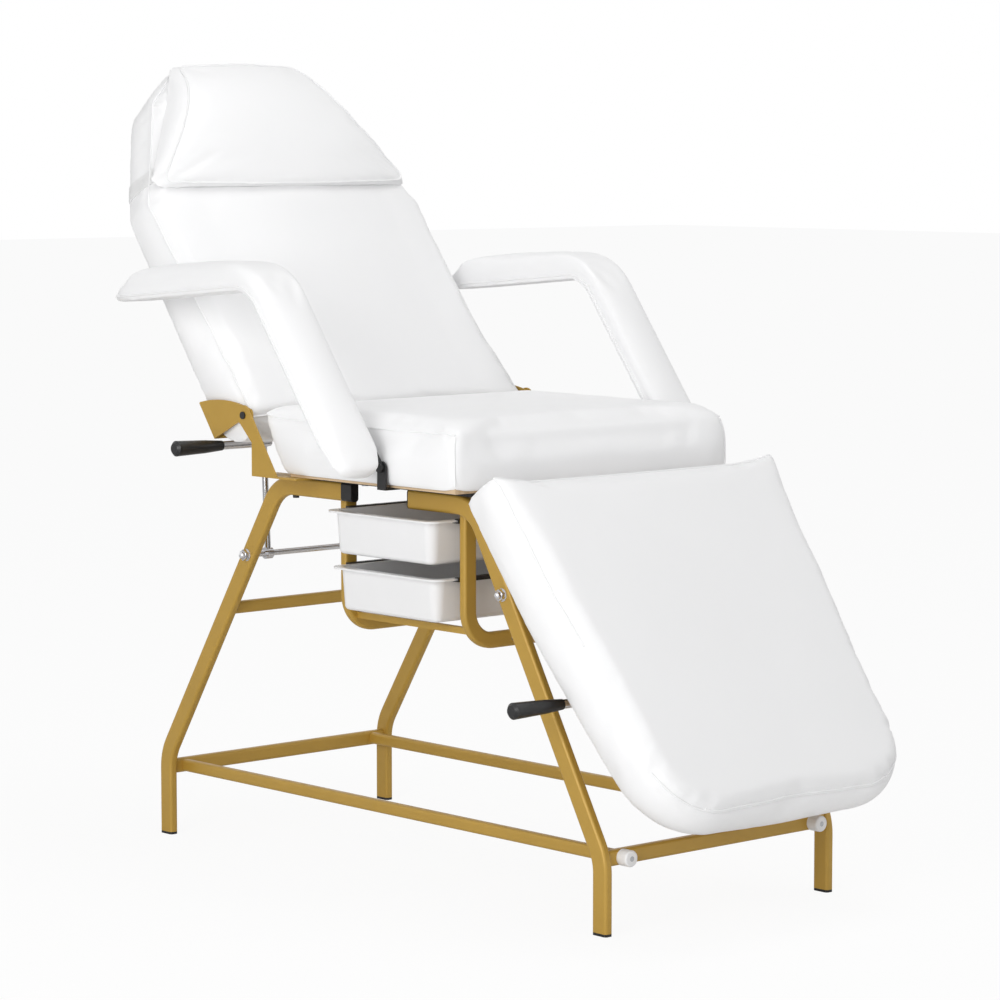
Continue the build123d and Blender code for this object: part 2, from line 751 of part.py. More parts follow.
def make_backrest():
    start = back_nose_tip[0] - cut_overrun
    middle_t = back_rear_t / 2
    levels = [
        Pos(0, 0, back_rear_t) * back_outline(back_side_draw, start),
        Pos(0, 0, middle_t) * back_outline(0, start),
        Pos(0, 0, cut_overrun) * back_outline(back_side_draw, start),
    ]
    body = loft(levels)
    flush = [0] * len(back_station_heights)
    body &= front_surface(flush, flush, True, back_rear_t - cut_overrun)
    head_rear = (back_head_rear_s, back_rear_t)
    nose = [
        Line((back_nose_top[0], cut_overrun), back_nose_top),
        ThreePointArc(back_nose_top, back_nose_bulge, back_nose_tip),
        ThreePointArc(back_nose_tip, back_nose_under, back_nose_foot),
        Line(back_nose_foot, (back_nose_heel_s, back_rear_t)),
        Line((back_nose_heel_s, back_rear_t), head_rear),
        ThreePointArc(head_rear, (back_length, back_head_bulge_t), (back_length, middle_t)),
        Line((back_length, middle_t), (back_length, cut_overrun)),
        Line((back_length, cut_overrun), (back_nose_top[0], cut_overrun)),
    ]
    body &= extrude(Plane.YZ * make_face(nose), amount=back_half_width + cut_overrun, both=True)
    board_slab = span_box(
        -back_half_width,
        back_half_width,
        back_board_start,
        back_head_rear_s - back_board_inset,
        back_rear_t,
        back_rear_t + back_board_thickness,
    )
    inset = back_side_draw + back_board_inset
    board_plan = Pos(0, 0, back_rear_t) * back_outline(inset, start)
    board = board_slab & extrude(board_plan, amount=back_board_thickness)
    body -= board
    reach = back_rear_t - cut_overrun
    ring_plan = Pos(0, 0, back_rear_t - strap_thickness) * back_outline(-strap_thickness, start)
    ring = extrude(ring_plan, amount=-reach)
    strap_lifts = [strap_thickness] * len(back_station_heights)
    ring &= front_surface(strap_lifts, strap_lifts, True, reach)
    half_strap, side_reach = strap_width / 2, back_shoulder_half_width + cut_overrun
    ring &= span_box(-side_reach, side_reach, strap_s - half_strap, strap_s + half_strap, reach, -reach)
    strap = ring - (loft(levels) & front_surface(flush, flush, True, reach))
    base = pillow_plan(pillow_base_wide_x, pillow_base_x, pillow_base_end_s)
    front = pillow_plan(pillow_wide_x, pillow_narrow_x, pillow_end_s)
    pillow = loft([Pos(0, 0, middle_t) * base, Pos(0, 0, -middle_t) * front])
    soft_lifts = [pillow_gap] * len(back_station_heights)
    pillow &= front_surface(pillow_middle_lifts, pillow_edge_lifts, False, reach)
    pillow -= front_surface(soft_lifts, soft_lifts, False, reach)
    pillow -= front_surface(soft_lifts, soft_lifts, True, reach)
    pillow -= ring
    save("backrest_cushion", back_place * body)
    save("backrest_board", back_place * board)
    save("headrest_pillow", back_place * pillow)
    save("headrest_strap", back_place * strap)


def leg_outline(inset, end_inset, start_s):
    points = [
        (leg_half_width - inset, -start_s),
        (leg_waist_half_width - inset, -leg_waist_s),
        (leg_foot_half_width - inset, end_inset - leg_end_s),
    ]
    outline = make_face(Polyline(*points, *[(-x, y) for x, y in reversed(points)], close=True))
    for (_, y), radius in zip(points[1:], (leg_waist_radius, leg_corner_radius)):
        corners = [corner for corner in outline.vertices() if abs(corner.Y - y) < tube_wall]
        outline = fillet(corners, radius)
    return outline


def make_legrest():
    seam, low = leg_seam_t, leg_back_t
    middle = (seam + low) / 2
    levels = [
        Pos(0, 0, low) * leg_outline(leg_rear_draw, leg_rear_draw, leg_start_s),
        Pos(0, 0, middle) * leg_outline(-leg_side_bulge, -leg_end_bulge, leg_start_s),
        Pos(0, 0, seam) * leg_outline(0, 0, leg_start_s),
    ]
    body = loft(levels) + extrude(levels[-1], amount=2 * leg_crown)
    reach = leg_end_s + cut_overrun
    wide, far = leg_half_width + leg_side_bulge, leg_end_s + leg_end_bulge
    across_line = crown_top(wide, -wide, seam, leg_crown, leg_crown_shoulder)
    across_line.append(Polyline((-wide, seam), (-wide, 0), (wide, 0), (wide, seam)))
    body &= extrude(Plane.XZ * make_face(across_line), amount=reach, both=True)
    crown_line = crown_top(-leg_start_s, -far, seam, leg_crown, leg_crown_shoulder)
    crown_line.append(Polyline((-far, seam), (-far, 0), (-leg_start_s, 0), (-leg_start_s, seam)))
    body &= extrude(Plane.YZ * make_face(crown_line), amount=leg_half_width + cut_overrun, both=True)
    inset = leg_rear_draw + leg_board_inset
    board_plan = Pos(0, 0, low) * leg_outline(inset, inset, leg_start_s + leg_board_inset)
    board = extrude(board_plan, amount=leg_board_thickness)
    body -= board
    save("legrest_cushion", leg_place * body)
    save("legrest_board", leg_place * board)


def make_legrest_hinges():
    third = hinge_width / 3
    knuckle = 2 * hinge_knuckle_radius
    pin_bore = hinge_pin_diameter + 2 * bore_clearance
    seat_leaves, leg_leaves, pins = [], [], []
    leaf = hinge_leaf_thickness
    for side in sides:
        middle = side * hinge_half_spacing
        low, high = middle - hinge_width / 2, middle + hinge_width / 2
        fixed = rod(knuckle, low, high, 0, 0)
        fixed -= rod(2 * knuckle, middle - third / 2, middle + third / 2, 0, 0)
        top = seat_bottom - leg_pivot_z
        fixed += span_box(low, high, 0, hinge_leaf_length, top - leaf, top)
        relief = third / 2 + hinge_knuckle_gap
        fixed -= span_box(
            middle - relief,
            middle + relief,
            -knuckle,
            hinge_knuckle_radius + hinge_knuckle_gap,
            -knuckle,
            knuckle,
        )
        fixed -= rod(pin_bore, low - cut_overrun, high + cut_overrun, 0, 0)
        seat_leaves.append(Pos(0, leg_pivot_y, leg_pivot_z) * fixed)
        half = third / 2
        moving = rod(knuckle, middle - half, middle + half, 0, 0)
        crank = hinge_crank_s
        moving += span_box(middle - half, middle + half, -crank - leaf, 0, -leaf / 2, leaf / 2)
        moving += span_box(middle - half, middle + half, -crank - leaf, -crank, -leaf / 2, leg_back_t)
        leaf_end = -leg_start_s - hinge_leaf_length
        moving += span_box(low, high, leaf_end, -leg_start_s, leg_back_t - leaf, leg_back_t)
        moving += span_box(middle - half, middle + half, -leg_start_s, -crank, leg_back_t - leaf, leg_back_t)
        moving -= rod(pin_bore, low - cut_overrun, high + cut_overrun, 0, 0)
        leg_leaves.append(leg_place * moving)
        pin = rod(hinge_pin_diameter, low - hinge_pin_head, high + hinge_pin_head, 0, 0)
        for edge in (low - hinge_pin_head, high):
            pin += rod(hinge_pin_diameter + 2 * hinge_pin_head, edge, edge + hinge_pin_head, 0, 0)
        pins.append(Pos(0, leg_pivot_y, leg_pivot_z) * pin)
    save("legrest_hinge_seat_leaves", group(seat_leaves))
    save("legrest_hinge_leg_leaves", group(leg_leaves))
    save("legrest_hinge_pins", group(pins))


def turned(point, angle):
    y, z = point
    return (y * cos(angle) - z * sin(angle), y * sin(angle) + z * cos(angle))


def slot_points(pivot, axle, pin, tilt, ratio):
    # Places of the pin at rest, halfway and flat, in the flat cushion's own axes
    length = hypot(pin[0] - axle[0], pin[1] - axle[1])
    rest_angle = atan2(pin[1] - axle[1], pin[0] - axle[0])
    points = []
    for share in (0, 0.5, 1):
        fold = radians(tilt) * share
        swung = rest_angle - ratio * fold
        place = (axle[0] + length * cos(swung) - pivot[0], axle[1] + length * sin(swung) - pivot[1])
        points.append(turned(place, fold - radians(tilt)))
    return points


def slide_plate(points, clearance, base_z, flange_y):
    slot_width = spindle_diameter + 2 * clearance
    band_width = slot_width + 2 * slide_band
    arc = ThreePointArc(*points)
    band = SlotArc(arc, band_width)
    low_z = min(point[1] for point in points)
    web_ends = sorted(point[0] for point in points)
    web = make_face(
        Polyline(
            (flange_y[0], base_z),
            (flange_y[1], base_z),
            (flange_y[1], low_z),
            (flange_y[0], low_z),
            close=True,
        )
    )
    outside = make_face(
        Polyline(
            (web_ends[0] - band_width, base_z),
            (web_ends[-1] + band_width, base_z),
            (web_ends[-1] + band_width, low_z - band_width),
            (web_ends[0] - band_width, low_z - band_width),
            close=True,
        )
    )
    corners = (points[-1], (points[-1][0], base_z), (points[0][0], base_z), points[0])
    hull_low = make_face([arc, Polyline(*corners)])
    face = (band + (web & hull_low)) & outside
    face -= SlotArc(arc, slot_width)
    x_end = slide_plate_x + slide_plate_thickness
    plate = Pos(slide_plate_x, 0, 0) * extrude(Plane.YZ * face, amount=slide_plate_thickness)
    plate += span_box(
        slide_plate_x,
        x_end + slide_flange_width,
        flange_y[0],
        flange_y[1],
        base_z - slide_flange_thickness,
        base_z,
    )
    return mirror(plate, about=Plane.YZ)


def strut(axle, pin):
    length = hypot(pin[0] - axle[0], pin[1] - axle[1])
    lean = degrees(asin((axle[0] - pin[0]) / length))
    half = strut_eye_width / 2
    eye_low = rod(2 * strut_foot_eye_radius, -half, half, 0, 0)
    eye_high = rod(2 * strut_top_eye_radius, -half, half, 0, length)
    bar = Pos(0, 0, length / 2) * Cylinder(strut_rod_diameter / 2, length)
    shape = eye_low + eye_high + bar
    shape -= rod(axle_diameter + 2 * bore_clearance, -cut_overrun, cut_overrun, 0, 0)
    shape -= rod(spindle_diameter + 2 * bore_clearance, -cut_overrun, cut_overrun, 0, length)
    if pin[1] < axle[1]:
        lean = 180 - lean
    return Pos(-strut_x, axle[0], axle[1]) * Rot(lean, 0, 0) * shape


def spindle(pin, grip_x):
    eye_inner = strut_x - strut_eye_width / 2
    shoulder = slide_plate_x + slide_plate_thickness + clamp_clearance
    head_start = clamp_clearance - eye_inner
    head = rod(spindle_head_diameter, head_start, head_start + spindle_head_thickness, 0, 0)
    thin = rod(spindle_diameter, head_start, -shoulder, 0, 0)
    thick = rod(spindle_shoulder_diameter, -shoulder, -grip_x, 0, 0)
    stem = rod(spindle_diameter, -grip_x, -grip_x - grip_stem_depth, 0, 0)
    return Pos(0, pin[0], pin[1]) * (head + thin + thick + stem)


def grip(pin, grip_x, length):
    waist = length * grip_waist_share
    profile = make_face(
        Polyline(
            (0, 0),
            (grip_neck_radius, 0),
            (grip_waist_radius, waist),
            (grip_fat_radius, length - grip_end_radius),
            (grip_fat_radius - grip_end_radius, length),
            (0, length),
            close=True,
        )
    )
    body = revolve(Plane.XZ * profile, axis=Axis.Z)
    body -= Cylinder(spindle_diameter / 2 + bore_clearance, 2 * grip_stem_depth + 2 * bore_clearance)
    return Pos(-grip_x, pin[0], pin[1]) * Rot(0, -90, 0) * body


def make_supports():
    back_pivot, leg_pivot = (back_pivot_y, back_pivot_z), (leg_pivot_y, leg_pivot_z)
    rear_axle, front_axle = (rear_axle_y, rear_axle_height), (front_axle_y, front_axle_height)
    back_pin, leg_pin = (back_pin_y, back_pin_z), (leg_pin_y, leg_pin_z)
    back_slot = slot_points(back_pivot, rear_axle, back_pin, back_tilt, back_strut_ratio)
    leg_slot = slot_points(leg_pivot, front_axle, leg_pin, leg_tilt, leg_strut_ratio)
    back_flange = (back_flange_start, back_flange_end)
    leg_flange = (-leg_flange_end, -leg_flange_start)
    back_plate = slide_plate(back_slot, back_slot_clearance, back_rear_t, back_flange)
    leg_plate = slide_plate(leg_slot, leg_slot_clearance, leg_back_t, leg_flange)
    save("backrest_slide_plate", back_place * back_plate)
    save("legrest_slide_plate", leg_place * leg_plate)
    save("back_strut", strut(rear_axle, back_pin))
    save("leg_strut", strut(front_axle, leg_pin))
    save("back_clamp_spindle", spindle(back_pin, back_grip_x))
    save("leg_clamp_spindle", spindle(leg_pin, leg_grip_x))
    save("back_clamp_grip", grip(back_pin, back_grip_x, back_grip_length))
    save("leg_clamp_grip", grip(leg_pin, leg_grip_x, leg_grip_length))


def arm_lines():
    # Side view of an armrest: the board along its underside, and the crown of its pad
    slant = atan2(arm_elbow_z - arm_low_z, arm_elbow_y - arm_low_y)

    def above(thickness_low, thickness_level, tail_y, tail_thickness):
        low = (arm_low_y - thickness_low * sin(slant), arm_low_z + thickness_low * cos(slant))
        top_z = arm_elbow_z + thickness_level
        elbow = (low[0] + (top_z - low[1]) * cos(slant) / sin(slant), top_z)
        return [low, elbow, (tail_y, arm_tail_z + tail_thickness)]

    under = [(arm_low_y, arm_low_z), (arm_elbow_y, arm_elbow_z), (arm_tail_y, arm_tail_z)]
    board = above(arm_board_thickness, arm_board_thickness, arm_tail_y, arm_board_thickness)
    crown = above(arm_slant_thickness, arm_level_thickness, arm_tail_y, arm_tail_thickness)
    return slant, under, board, crown


def rounded_profile(points, corners):
    face = make_face(Polyline(*points, close=True))
    for (y, z), radius in corners:
        near = [v for v in face.vertices() if hypot(v.X - y, v.Y - z) < tube_wall]
        face = fillet(near, radius)
    return face


def make_armrests():
    slant, under, board_line, crown = arm_lines()
    board_radius = arm_inner_radius + arm_board_thickness
    corners = [(under[1], arm_inner_radius), (board_line[1], board_radius)]
    board_face = rounded_profile(under + board_line[::-1], corners)
    board = extrude(Plane.YZ * board_face, amount=arm_width)
    corners = [(under[1], arm_inner_radius), (crown[1], arm_outer_radius), (crown[0], arm_low_radius)]
    pad = extrude(Plane.YZ * rounded_profile(under + crown[::-1], corners), amount=arm_width)
    edges = [edge for edge in pad.edges() if abs(edge.tangent_at(0.5).X) < 0.5]
    edges = [edge for edge in edges if board.distance_to(Vertex(edge @ 0.5)) > arm_board_thickness / 2]
    edges = [edge for edge in edges if (edge @ 0.5).Y < arm_tail_y - tube_wall]
    inner_edges = [edge for edge in edges if (edge @ 0.5).X < arm_width / 2]
    outer_edges = [edge for edge in edges if (edge @ 0.5).X > arm_width / 2]
    pad = fillet(inner_edges, arm_inner_edge_radius)
    outer_middles = [edge @ 0.5 for edge in outer_edges]
    outer_edges = [e for e in pad.edges() if min((e @ 0.5 - middle).length for middle in outer_middles) < tube_wall]
    pad = fillet(outer_edges, arm_outer_edge_radius)
    wedge_y = arm_tail_y - arm_wedge_length
    wedge = make_face(
        Polyline(
            (arm_low_y - arm_level_thickness, arm_low_z - arm_level_thickness),
            (arm_tail_y, arm_low_z - arm_level_thickness),
            (arm_tail_y, arm_tail_z + arm_tip_thickness),
            (wedge_y, arm_elbow_z + arm_level_thickness),
            (arm_low_y - arm_level_thickness, arm_elbow_z + arm_level_thickness),
            close=True,
        )
    )
    middle_y = (arm_low_y - arm_level_thickness + arm_tail_y) / 2
    plan = RectangleRounded(arm_width, arm_tail_y - arm_low_y + arm_level_thickness, arm_plan_radius)
    plan_prism = extrude(Pos(arm_width / 2, middle_y, 0) * plan, amount=2 * arm_elbow_z)
    pad = pad & extrude(Plane.YZ * wedge, amount=arm_width) & plan_prism
    board = board & plan_prism
    end_plane = Plane(
        origin=(arm_width / 2, arm_low_y, arm_low_z), x_dir=(1, 0, 0), z_dir=(0, -sin(slant), cos(slant))
    )
    end_strip = Rectangle(arm_width + 2 * cut_overrun, 2 * arm_end_radius)
    end_strip -= Pos(0, 2 * arm_end_radius) * RectangleRounded(arm_width, 4 * arm_end_radius, arm_end_radius)
    end_corners = extrude(end_plane * end_strip, amount=2 * arm_slant_thickness, both=True)
    pad -= end_corners
    board -= end_corners
    recess_diameter = arm_bolt_head_diameter + 2 * arm_bracket_gap
    recess = rod(recess_diameter, -arm_recess_depth, arm_recess_depth, arm_pivot_y, arm_pivot_z)
    board -= recess
    pad -= board
    pad -= recess

    bore = arm_bolt_diameter + 2 * bore_clearance
    bar_inner = arm_inner_x - arm_bar_thickness
    strip = SlotCenterToCenter(arm_bar_length, arm_bar_width)
    strip = Pos(arm_bar_length / 2, 0) * strip
    bar = Rot(degrees(slant), 0, 0) * extrude(Plane.YZ * strip, amount=arm_bar_thickness)
    bar = Pos(bar_inner, arm_pivot_y, arm_pivot_z) * bar
    bar -= rod(bore, bar_inner - cut_overrun, arm_inner_x + cut_overrun, arm_pivot_y, arm_pivot_z)

    inner = bar_inner - arm_bracket_thickness - arm_bracket_gap
    outer = inner + arm_bracket_thickness
    low = seat_bottom - arm_bracket_thickness
    half = arm_bracket_width / 2
    bracket = span_box(inner, outer, arm_pivot_y - half, arm_pivot_y + half, low, arm_pivot_z)
    bracket += rod(arm_bracket_width, inner, outer, arm_pivot_y, arm_pivot_z)
    bracket += span_box(
        outer - arm_bracket_reach,
        outer,
        arm_pivot_y - half,
        arm_pivot_y + half,
        low,
        seat_bottom,
    )
    bracket -= rod(bore, inner - cut_overrun, outer + cut_overrun, arm_pivot_y, arm_pivot_z)
    tail = inner - pivot_tail_thickness
    head = arm_inner_x + arm_bolt_head_thickness
    bolt = rod(arm_bolt_diameter, tail, head, arm_pivot_y, arm_pivot_z)
    bolt += rod(arm_bolt_head_diameter, arm_inner_x, head, arm_pivot_y, arm_pivot_z)
    bolt += rod(pivot_tail_diameter, tail, inner, arm_pivot_y, arm_pivot_z)
    shapes = {
        "armrest_pad": Pos(arm_inner_x, 0, 0) * pad,
        "armrest_board": Pos(arm_inner_x, 0, 0) * board,
        "armrest_bar": bar,
        "armrest_bracket": bracket,
    }
    for name, shape in shapes.items():
        save(name + "_left", shape)
        save(name + "_right", mirror(shape, about=Plane.YZ))
    save("armrest_bolts", group(both_sides(bolt)))


def make_hoops():
    half = leg_inner_x - hoop_depth / 2
    bottom = hoop_bottom_z + hoop_depth / 2
    section = tube_section(hoop_depth, tube_width)
    screws = []
    for name, y in (("front", hoop_front_y), ("rear", hoop_rear_y)):
        points = [(half, y, top_height), (half, y, bottom), (-half, y, bottom), (-half, y, top_height)]
        path = FilletPolyline(*points, radius=hoop_bend_radius)
        hoop = sweep(Plane((half, y, top_height), x_dir=(1, 0, 0), z_dir=(0, 0, -1)) * section, path=path)
        facing = 1 if y > 0 else -1
        for side in sides:
            place = Pos(side * hoop_screw_half_spacing, y + facing * tube_width / 2, bottom)
            place *= Rot(-90 * facing, 0, 0)
            hoop -= place * Cylinder(hoop_screw_shank / 2 + bore_clearance, 2 * tube_width - tube_wall)
            head = Pos(0, 0, hoop_screw_head / 2) * Cylinder(hoop_screw_diameter / 2, hoop_screw_head)
            shank = Pos(0, 0, -tube_width / 4) * Cylinder(hoop_screw_shank / 2, tube_width / 2)
            screws.append(place * (head + shank))
        save("tray_hoop_" + name, hoop)
    save("tray_hoop_screws", group(screws))
    near, far = hoop_front_y + tube_width / 2, hoop_rear_y - tube_width / 2
    bars = []
    for side in sides:
        x = side * hoop_bar_half_spacing
        half_bar = hoop_bar_depth / 2
        low, high = hoop_bar_z - half_bar, hoop_bar_z + half_bar
        bars.append(span_box(x - half_bar, x + half_bar, near, far, low, high))
    save("tray_hoop_bars", group(bars))
    for name, top in (("upper", upper_tray_top), ("lower", lower_tray_top)):
        rest_z = top - tray_rim_thickness - tray_lift
        strips = []
        for wall, inward in ((near, 1), (far, -1)):
            edges = sorted((wall, wall + inward * runner_leg))
            skin = sorted((wall, wall + inward * runner_thickness))
            cover = sorted((wall, wall + inward * runner_cover))
            cover_z = top + tray_lift
            high = cover_z + runner_thickness
            strip = span_box(-leg_inner_x, leg_inner_x, *edges, rest_z - runner_thickness, rest_z)
            strip += span_box(-leg_inner_x, leg_inner_x, *skin, rest_z - runner_thickness, high)
            strip += span_box(-leg_inner_x, leg_inner_x, *cover, cover_z, high)
            strips.append(strip)
        save("tray_runners_" + name, group(strips))


def make_trays():
    middle_y = (hoop_front_y + hoop_rear_y) / 2
    trays = (("upper", upper_tray_top, upper_tray_out), ("lower", lower_tray_top, lower_tray_out))
    for name, top, out in trays:
        body_length, body_width = tray_length - 2 * tray_rim, tray_width - 2 * tray_rim
        outline = RectangleRounded(body_length, body_width, tray_corner)
        outer = extrude(outline, amount=-tray_height, taper=tray_draft)
        outer = fillet(outer.faces().sort_by(Axis.Z)[0].edges(), tray_floor_radius)
        inside = RectangleRounded(
            body_length - 2 * tray_wall, body_width - 2 * tray_wall, tray_corner - tray_wall
        )
        hollow = extrude(inside, amount=tray_wall - tray_height, taper=tray_draft)
        hollow = fillet(hollow.faces().sort_by(Axis.Z)[0].edges(), tray_floor_radius - tray_wall)
        rim = RectangleRounded(tray_length, tray_width, tray_rim_corner)
        flange = extrude(rim, amount=-tray_rim_thickness)
        tray = outer + flange - hollow
        save("tray_" + name, Pos(-out, middle_y, top) * tray)


os.makedirs("parts", exist_ok=True)
make_legs()
make_crossbars()
make_axles()
make_bumpers()
make_seat()
make_hinge_plates()
make_backrest()
make_legrest()
make_legrest_hinges()
make_supports()
make_armrests()
make_hoops()
make_trays()
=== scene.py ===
import json
import math

import bmesh
import bpy
from bpy.props import FloatProperty, FloatVectorProperty, IntProperty, PointerProperty
from bpy.types import Operator, Panel, PropertyGroup
from mathutils import Matrix, Vector, kdtree, noise
from mathutils.bvhtree import BVHTree


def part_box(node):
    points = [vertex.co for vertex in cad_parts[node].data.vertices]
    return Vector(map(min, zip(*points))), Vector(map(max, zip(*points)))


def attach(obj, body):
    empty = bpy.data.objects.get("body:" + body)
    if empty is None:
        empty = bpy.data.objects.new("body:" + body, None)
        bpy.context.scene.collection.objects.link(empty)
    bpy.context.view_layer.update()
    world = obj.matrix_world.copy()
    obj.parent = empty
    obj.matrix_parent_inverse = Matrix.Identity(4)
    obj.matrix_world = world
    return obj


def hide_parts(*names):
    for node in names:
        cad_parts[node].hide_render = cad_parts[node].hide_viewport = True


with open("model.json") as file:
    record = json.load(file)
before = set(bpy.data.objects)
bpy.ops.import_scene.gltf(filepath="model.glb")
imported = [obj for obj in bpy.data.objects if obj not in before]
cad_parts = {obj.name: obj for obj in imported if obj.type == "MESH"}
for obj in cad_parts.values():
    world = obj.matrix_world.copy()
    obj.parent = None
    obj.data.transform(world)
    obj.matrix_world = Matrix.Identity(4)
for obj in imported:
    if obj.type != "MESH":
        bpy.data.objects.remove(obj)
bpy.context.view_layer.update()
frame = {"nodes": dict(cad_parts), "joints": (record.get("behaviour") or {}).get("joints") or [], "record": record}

bl_info = {
    "name": "Treatment chair",
    "version": (1, 0, 0),
    "blender": (4, 5, 0),
    "location": "3D View > Sidebar > Chair",
    "description": "Upholstery, finishes and studio of a padded treatment chair on a bent tube frame",
    "category": "Object",
}

record = frame["record"]
slot_of_node = {part["node"]: part["material_slot"] for part in record["subparts"]}
joints = {joint["name"]: joint for joint in frame["joints"]}


def section_place(joint_name):
    # Frame of a folding section: x across, y up the section, z out of its front face
    joint = joints[joint_name]
    turn = Matrix.Rotation(math.radians(joint["range_deg"][1]), 4, "X")
    return Matrix.Translation(joint["pos_m"]) @ turn


back_place = section_place("backrest_recline")
leg_place = section_place("legrest_lift")


class ChairColours(PropertyGroup):
    gold: FloatVectorProperty(
        name="Powder coat", description="Colour of the bent tube frame", subtype="COLOR",
        default=(0.50, 0.305, 0.052), min=0, max=1,
    )
    vinyl: FloatVectorProperty(
        name="Upholstery", description="Colour of the coated fabric covers", subtype="COLOR",
        default=(0.90, 0.90, 0.905), min=0, max=1,
    )
    plastic: FloatVectorProperty(
        name="Trays", description="Colour of the moulded trays", subtype="COLOR",
        default=(0.86, 0.86, 0.865), min=0, max=1,
    )
    black: FloatVectorProperty(
        name="Grips and caps", description="Colour of the grips, caps and dark fittings",
        subtype="COLOR", default=(0.012, 0.012, 0.013), min=0, max=1,
    )
    chrome: FloatVectorProperty(
        name="Chrome", description="Colour of the plated rods and nuts", subtype="COLOR",
        default=(0.72, 0.72, 0.74), min=0, max=1,
    )


class ChairUpholstery(PropertyGroup):
    cell: FloatProperty(
        name="Mesh cell", description="Cell of the mesh that is filled like a cushion",
        default=0.0068, min=0.003, max=0.02, unit="LENGTH",
    )
    tight: FloatProperty(
        name="Cut smaller", description="How much smaller a cover starts before it is filled",
        default=0.0022, min=0, max=0.01, unit="LENGTH",
    )
    pressure: FloatProperty(
        name="Filling", description="Pressure of the filling in a cover", default=3.0, min=0, max=20,
    )
    frames: IntProperty(
        name="Filling time", description="Frames over which the covers are filled",
        default=20, min=2, max=60,
    )
    cap: FloatProperty(
        name="Furthest move", description="The most that a point of a cover moves while it is filled",
        default=0.012, min=0, max=0.03, unit="LENGTH",
    )
    front_swell: FloatProperty(
        name="Front swell", description="How far a front panel may stand out of its plain form",
        default=0.004, min=0, max=0.01, unit="LENGTH",
    )
    side_swell: FloatProperty(
        name="Side swell", description="How far a side wall may stand out of its plain form",
        default=0.0006, min=0, max=0.01, unit="LENGTH",
    )
    piping: FloatProperty(
        name="Piping", description="Radius of the piping in the seams",
        default=0.0017, min=0.001, max=0.006, unit="LENGTH",
    )
    seam_width: FloatProperty(
        name="Seam width", description="Half width of the dip that a seam pulls into a cover",
        default=0.012, min=0.002, max=0.04, unit="LENGTH",
    )
    seam_depth: FloatProperty(
        name="Seam depth", description="Depth of the dip along a seam", default=0.0012, min=0, max=0.01,
        unit="LENGTH",
    )
    pucker: FloatProperty(
        name="Pucker", description="Height of the small folds that run off the seams",
        default=0.0003, min=0, max=0.005, unit="LENGTH",
    )
    softness: FloatProperty(
        name="Softness", description="Height of the soft unevenness of the panels",
        default=0.0008, min=0, max=0.006, unit="LENGTH",
    )


class ChairStudio(PropertyGroup):
    place: FloatVectorProperty(
        name="Camera", description="Where the camera stands", subtype="TRANSLATION", unit="LENGTH",
        default=(-3.81447, -4.28471, 1.16042),
    )
    azimuth: FloatProperty(
        name="Azimuth", description="Turn of the camera about the vertical", subtype="ANGLE",
        default=math.radians(-41.9486),
    )
    elevation: FloatProperty(
        name="Elevation", description="How far the camera looks down", subtype="ANGLE",
        default=math.radians(5.7374),
    )
    lens: FloatProperty(
        name="Lens", description="Focal length", default=130.12, min=10, max=400, unit="CAMERA",
    )
    sky: FloatProperty(
        name="Soft light", description="Level of the light from all round", default=0.76, min=0,
    )
    behind: FloatProperty(
        name="Behind", description="Share of the soft light that comes from behind",
        default=0.22, min=0, max=1,
    )
    key: FloatProperty(
        name="Key light", description="Power of the large lamp on the left", default=95.0, min=0,
    )
    fill: FloatProperty(
        name="Fill light", description="Power of the lamp high above", default=40.0, min=0,
    )


def clear_selection():
    if bpy.context.object and bpy.context.object.mode != "OBJECT":
        bpy.ops.object.mode_set(mode="OBJECT")
    bpy.ops.object.select_all(action="DESELECT")


def pick(piece):
    clear_selection()
    piece.select_set(True)
    bpy.context.view_layer.objects.active = piece


def apply_modifier(piece, modifier):
    pick(piece)
    bpy.ops.object.modifier_apply(modifier=modifier.name)


def dress(piece, material_slot):
    piece.data.materials.clear()
    piece.data.materials.append(finishes[material_slot])


# Materials

finishes = {}


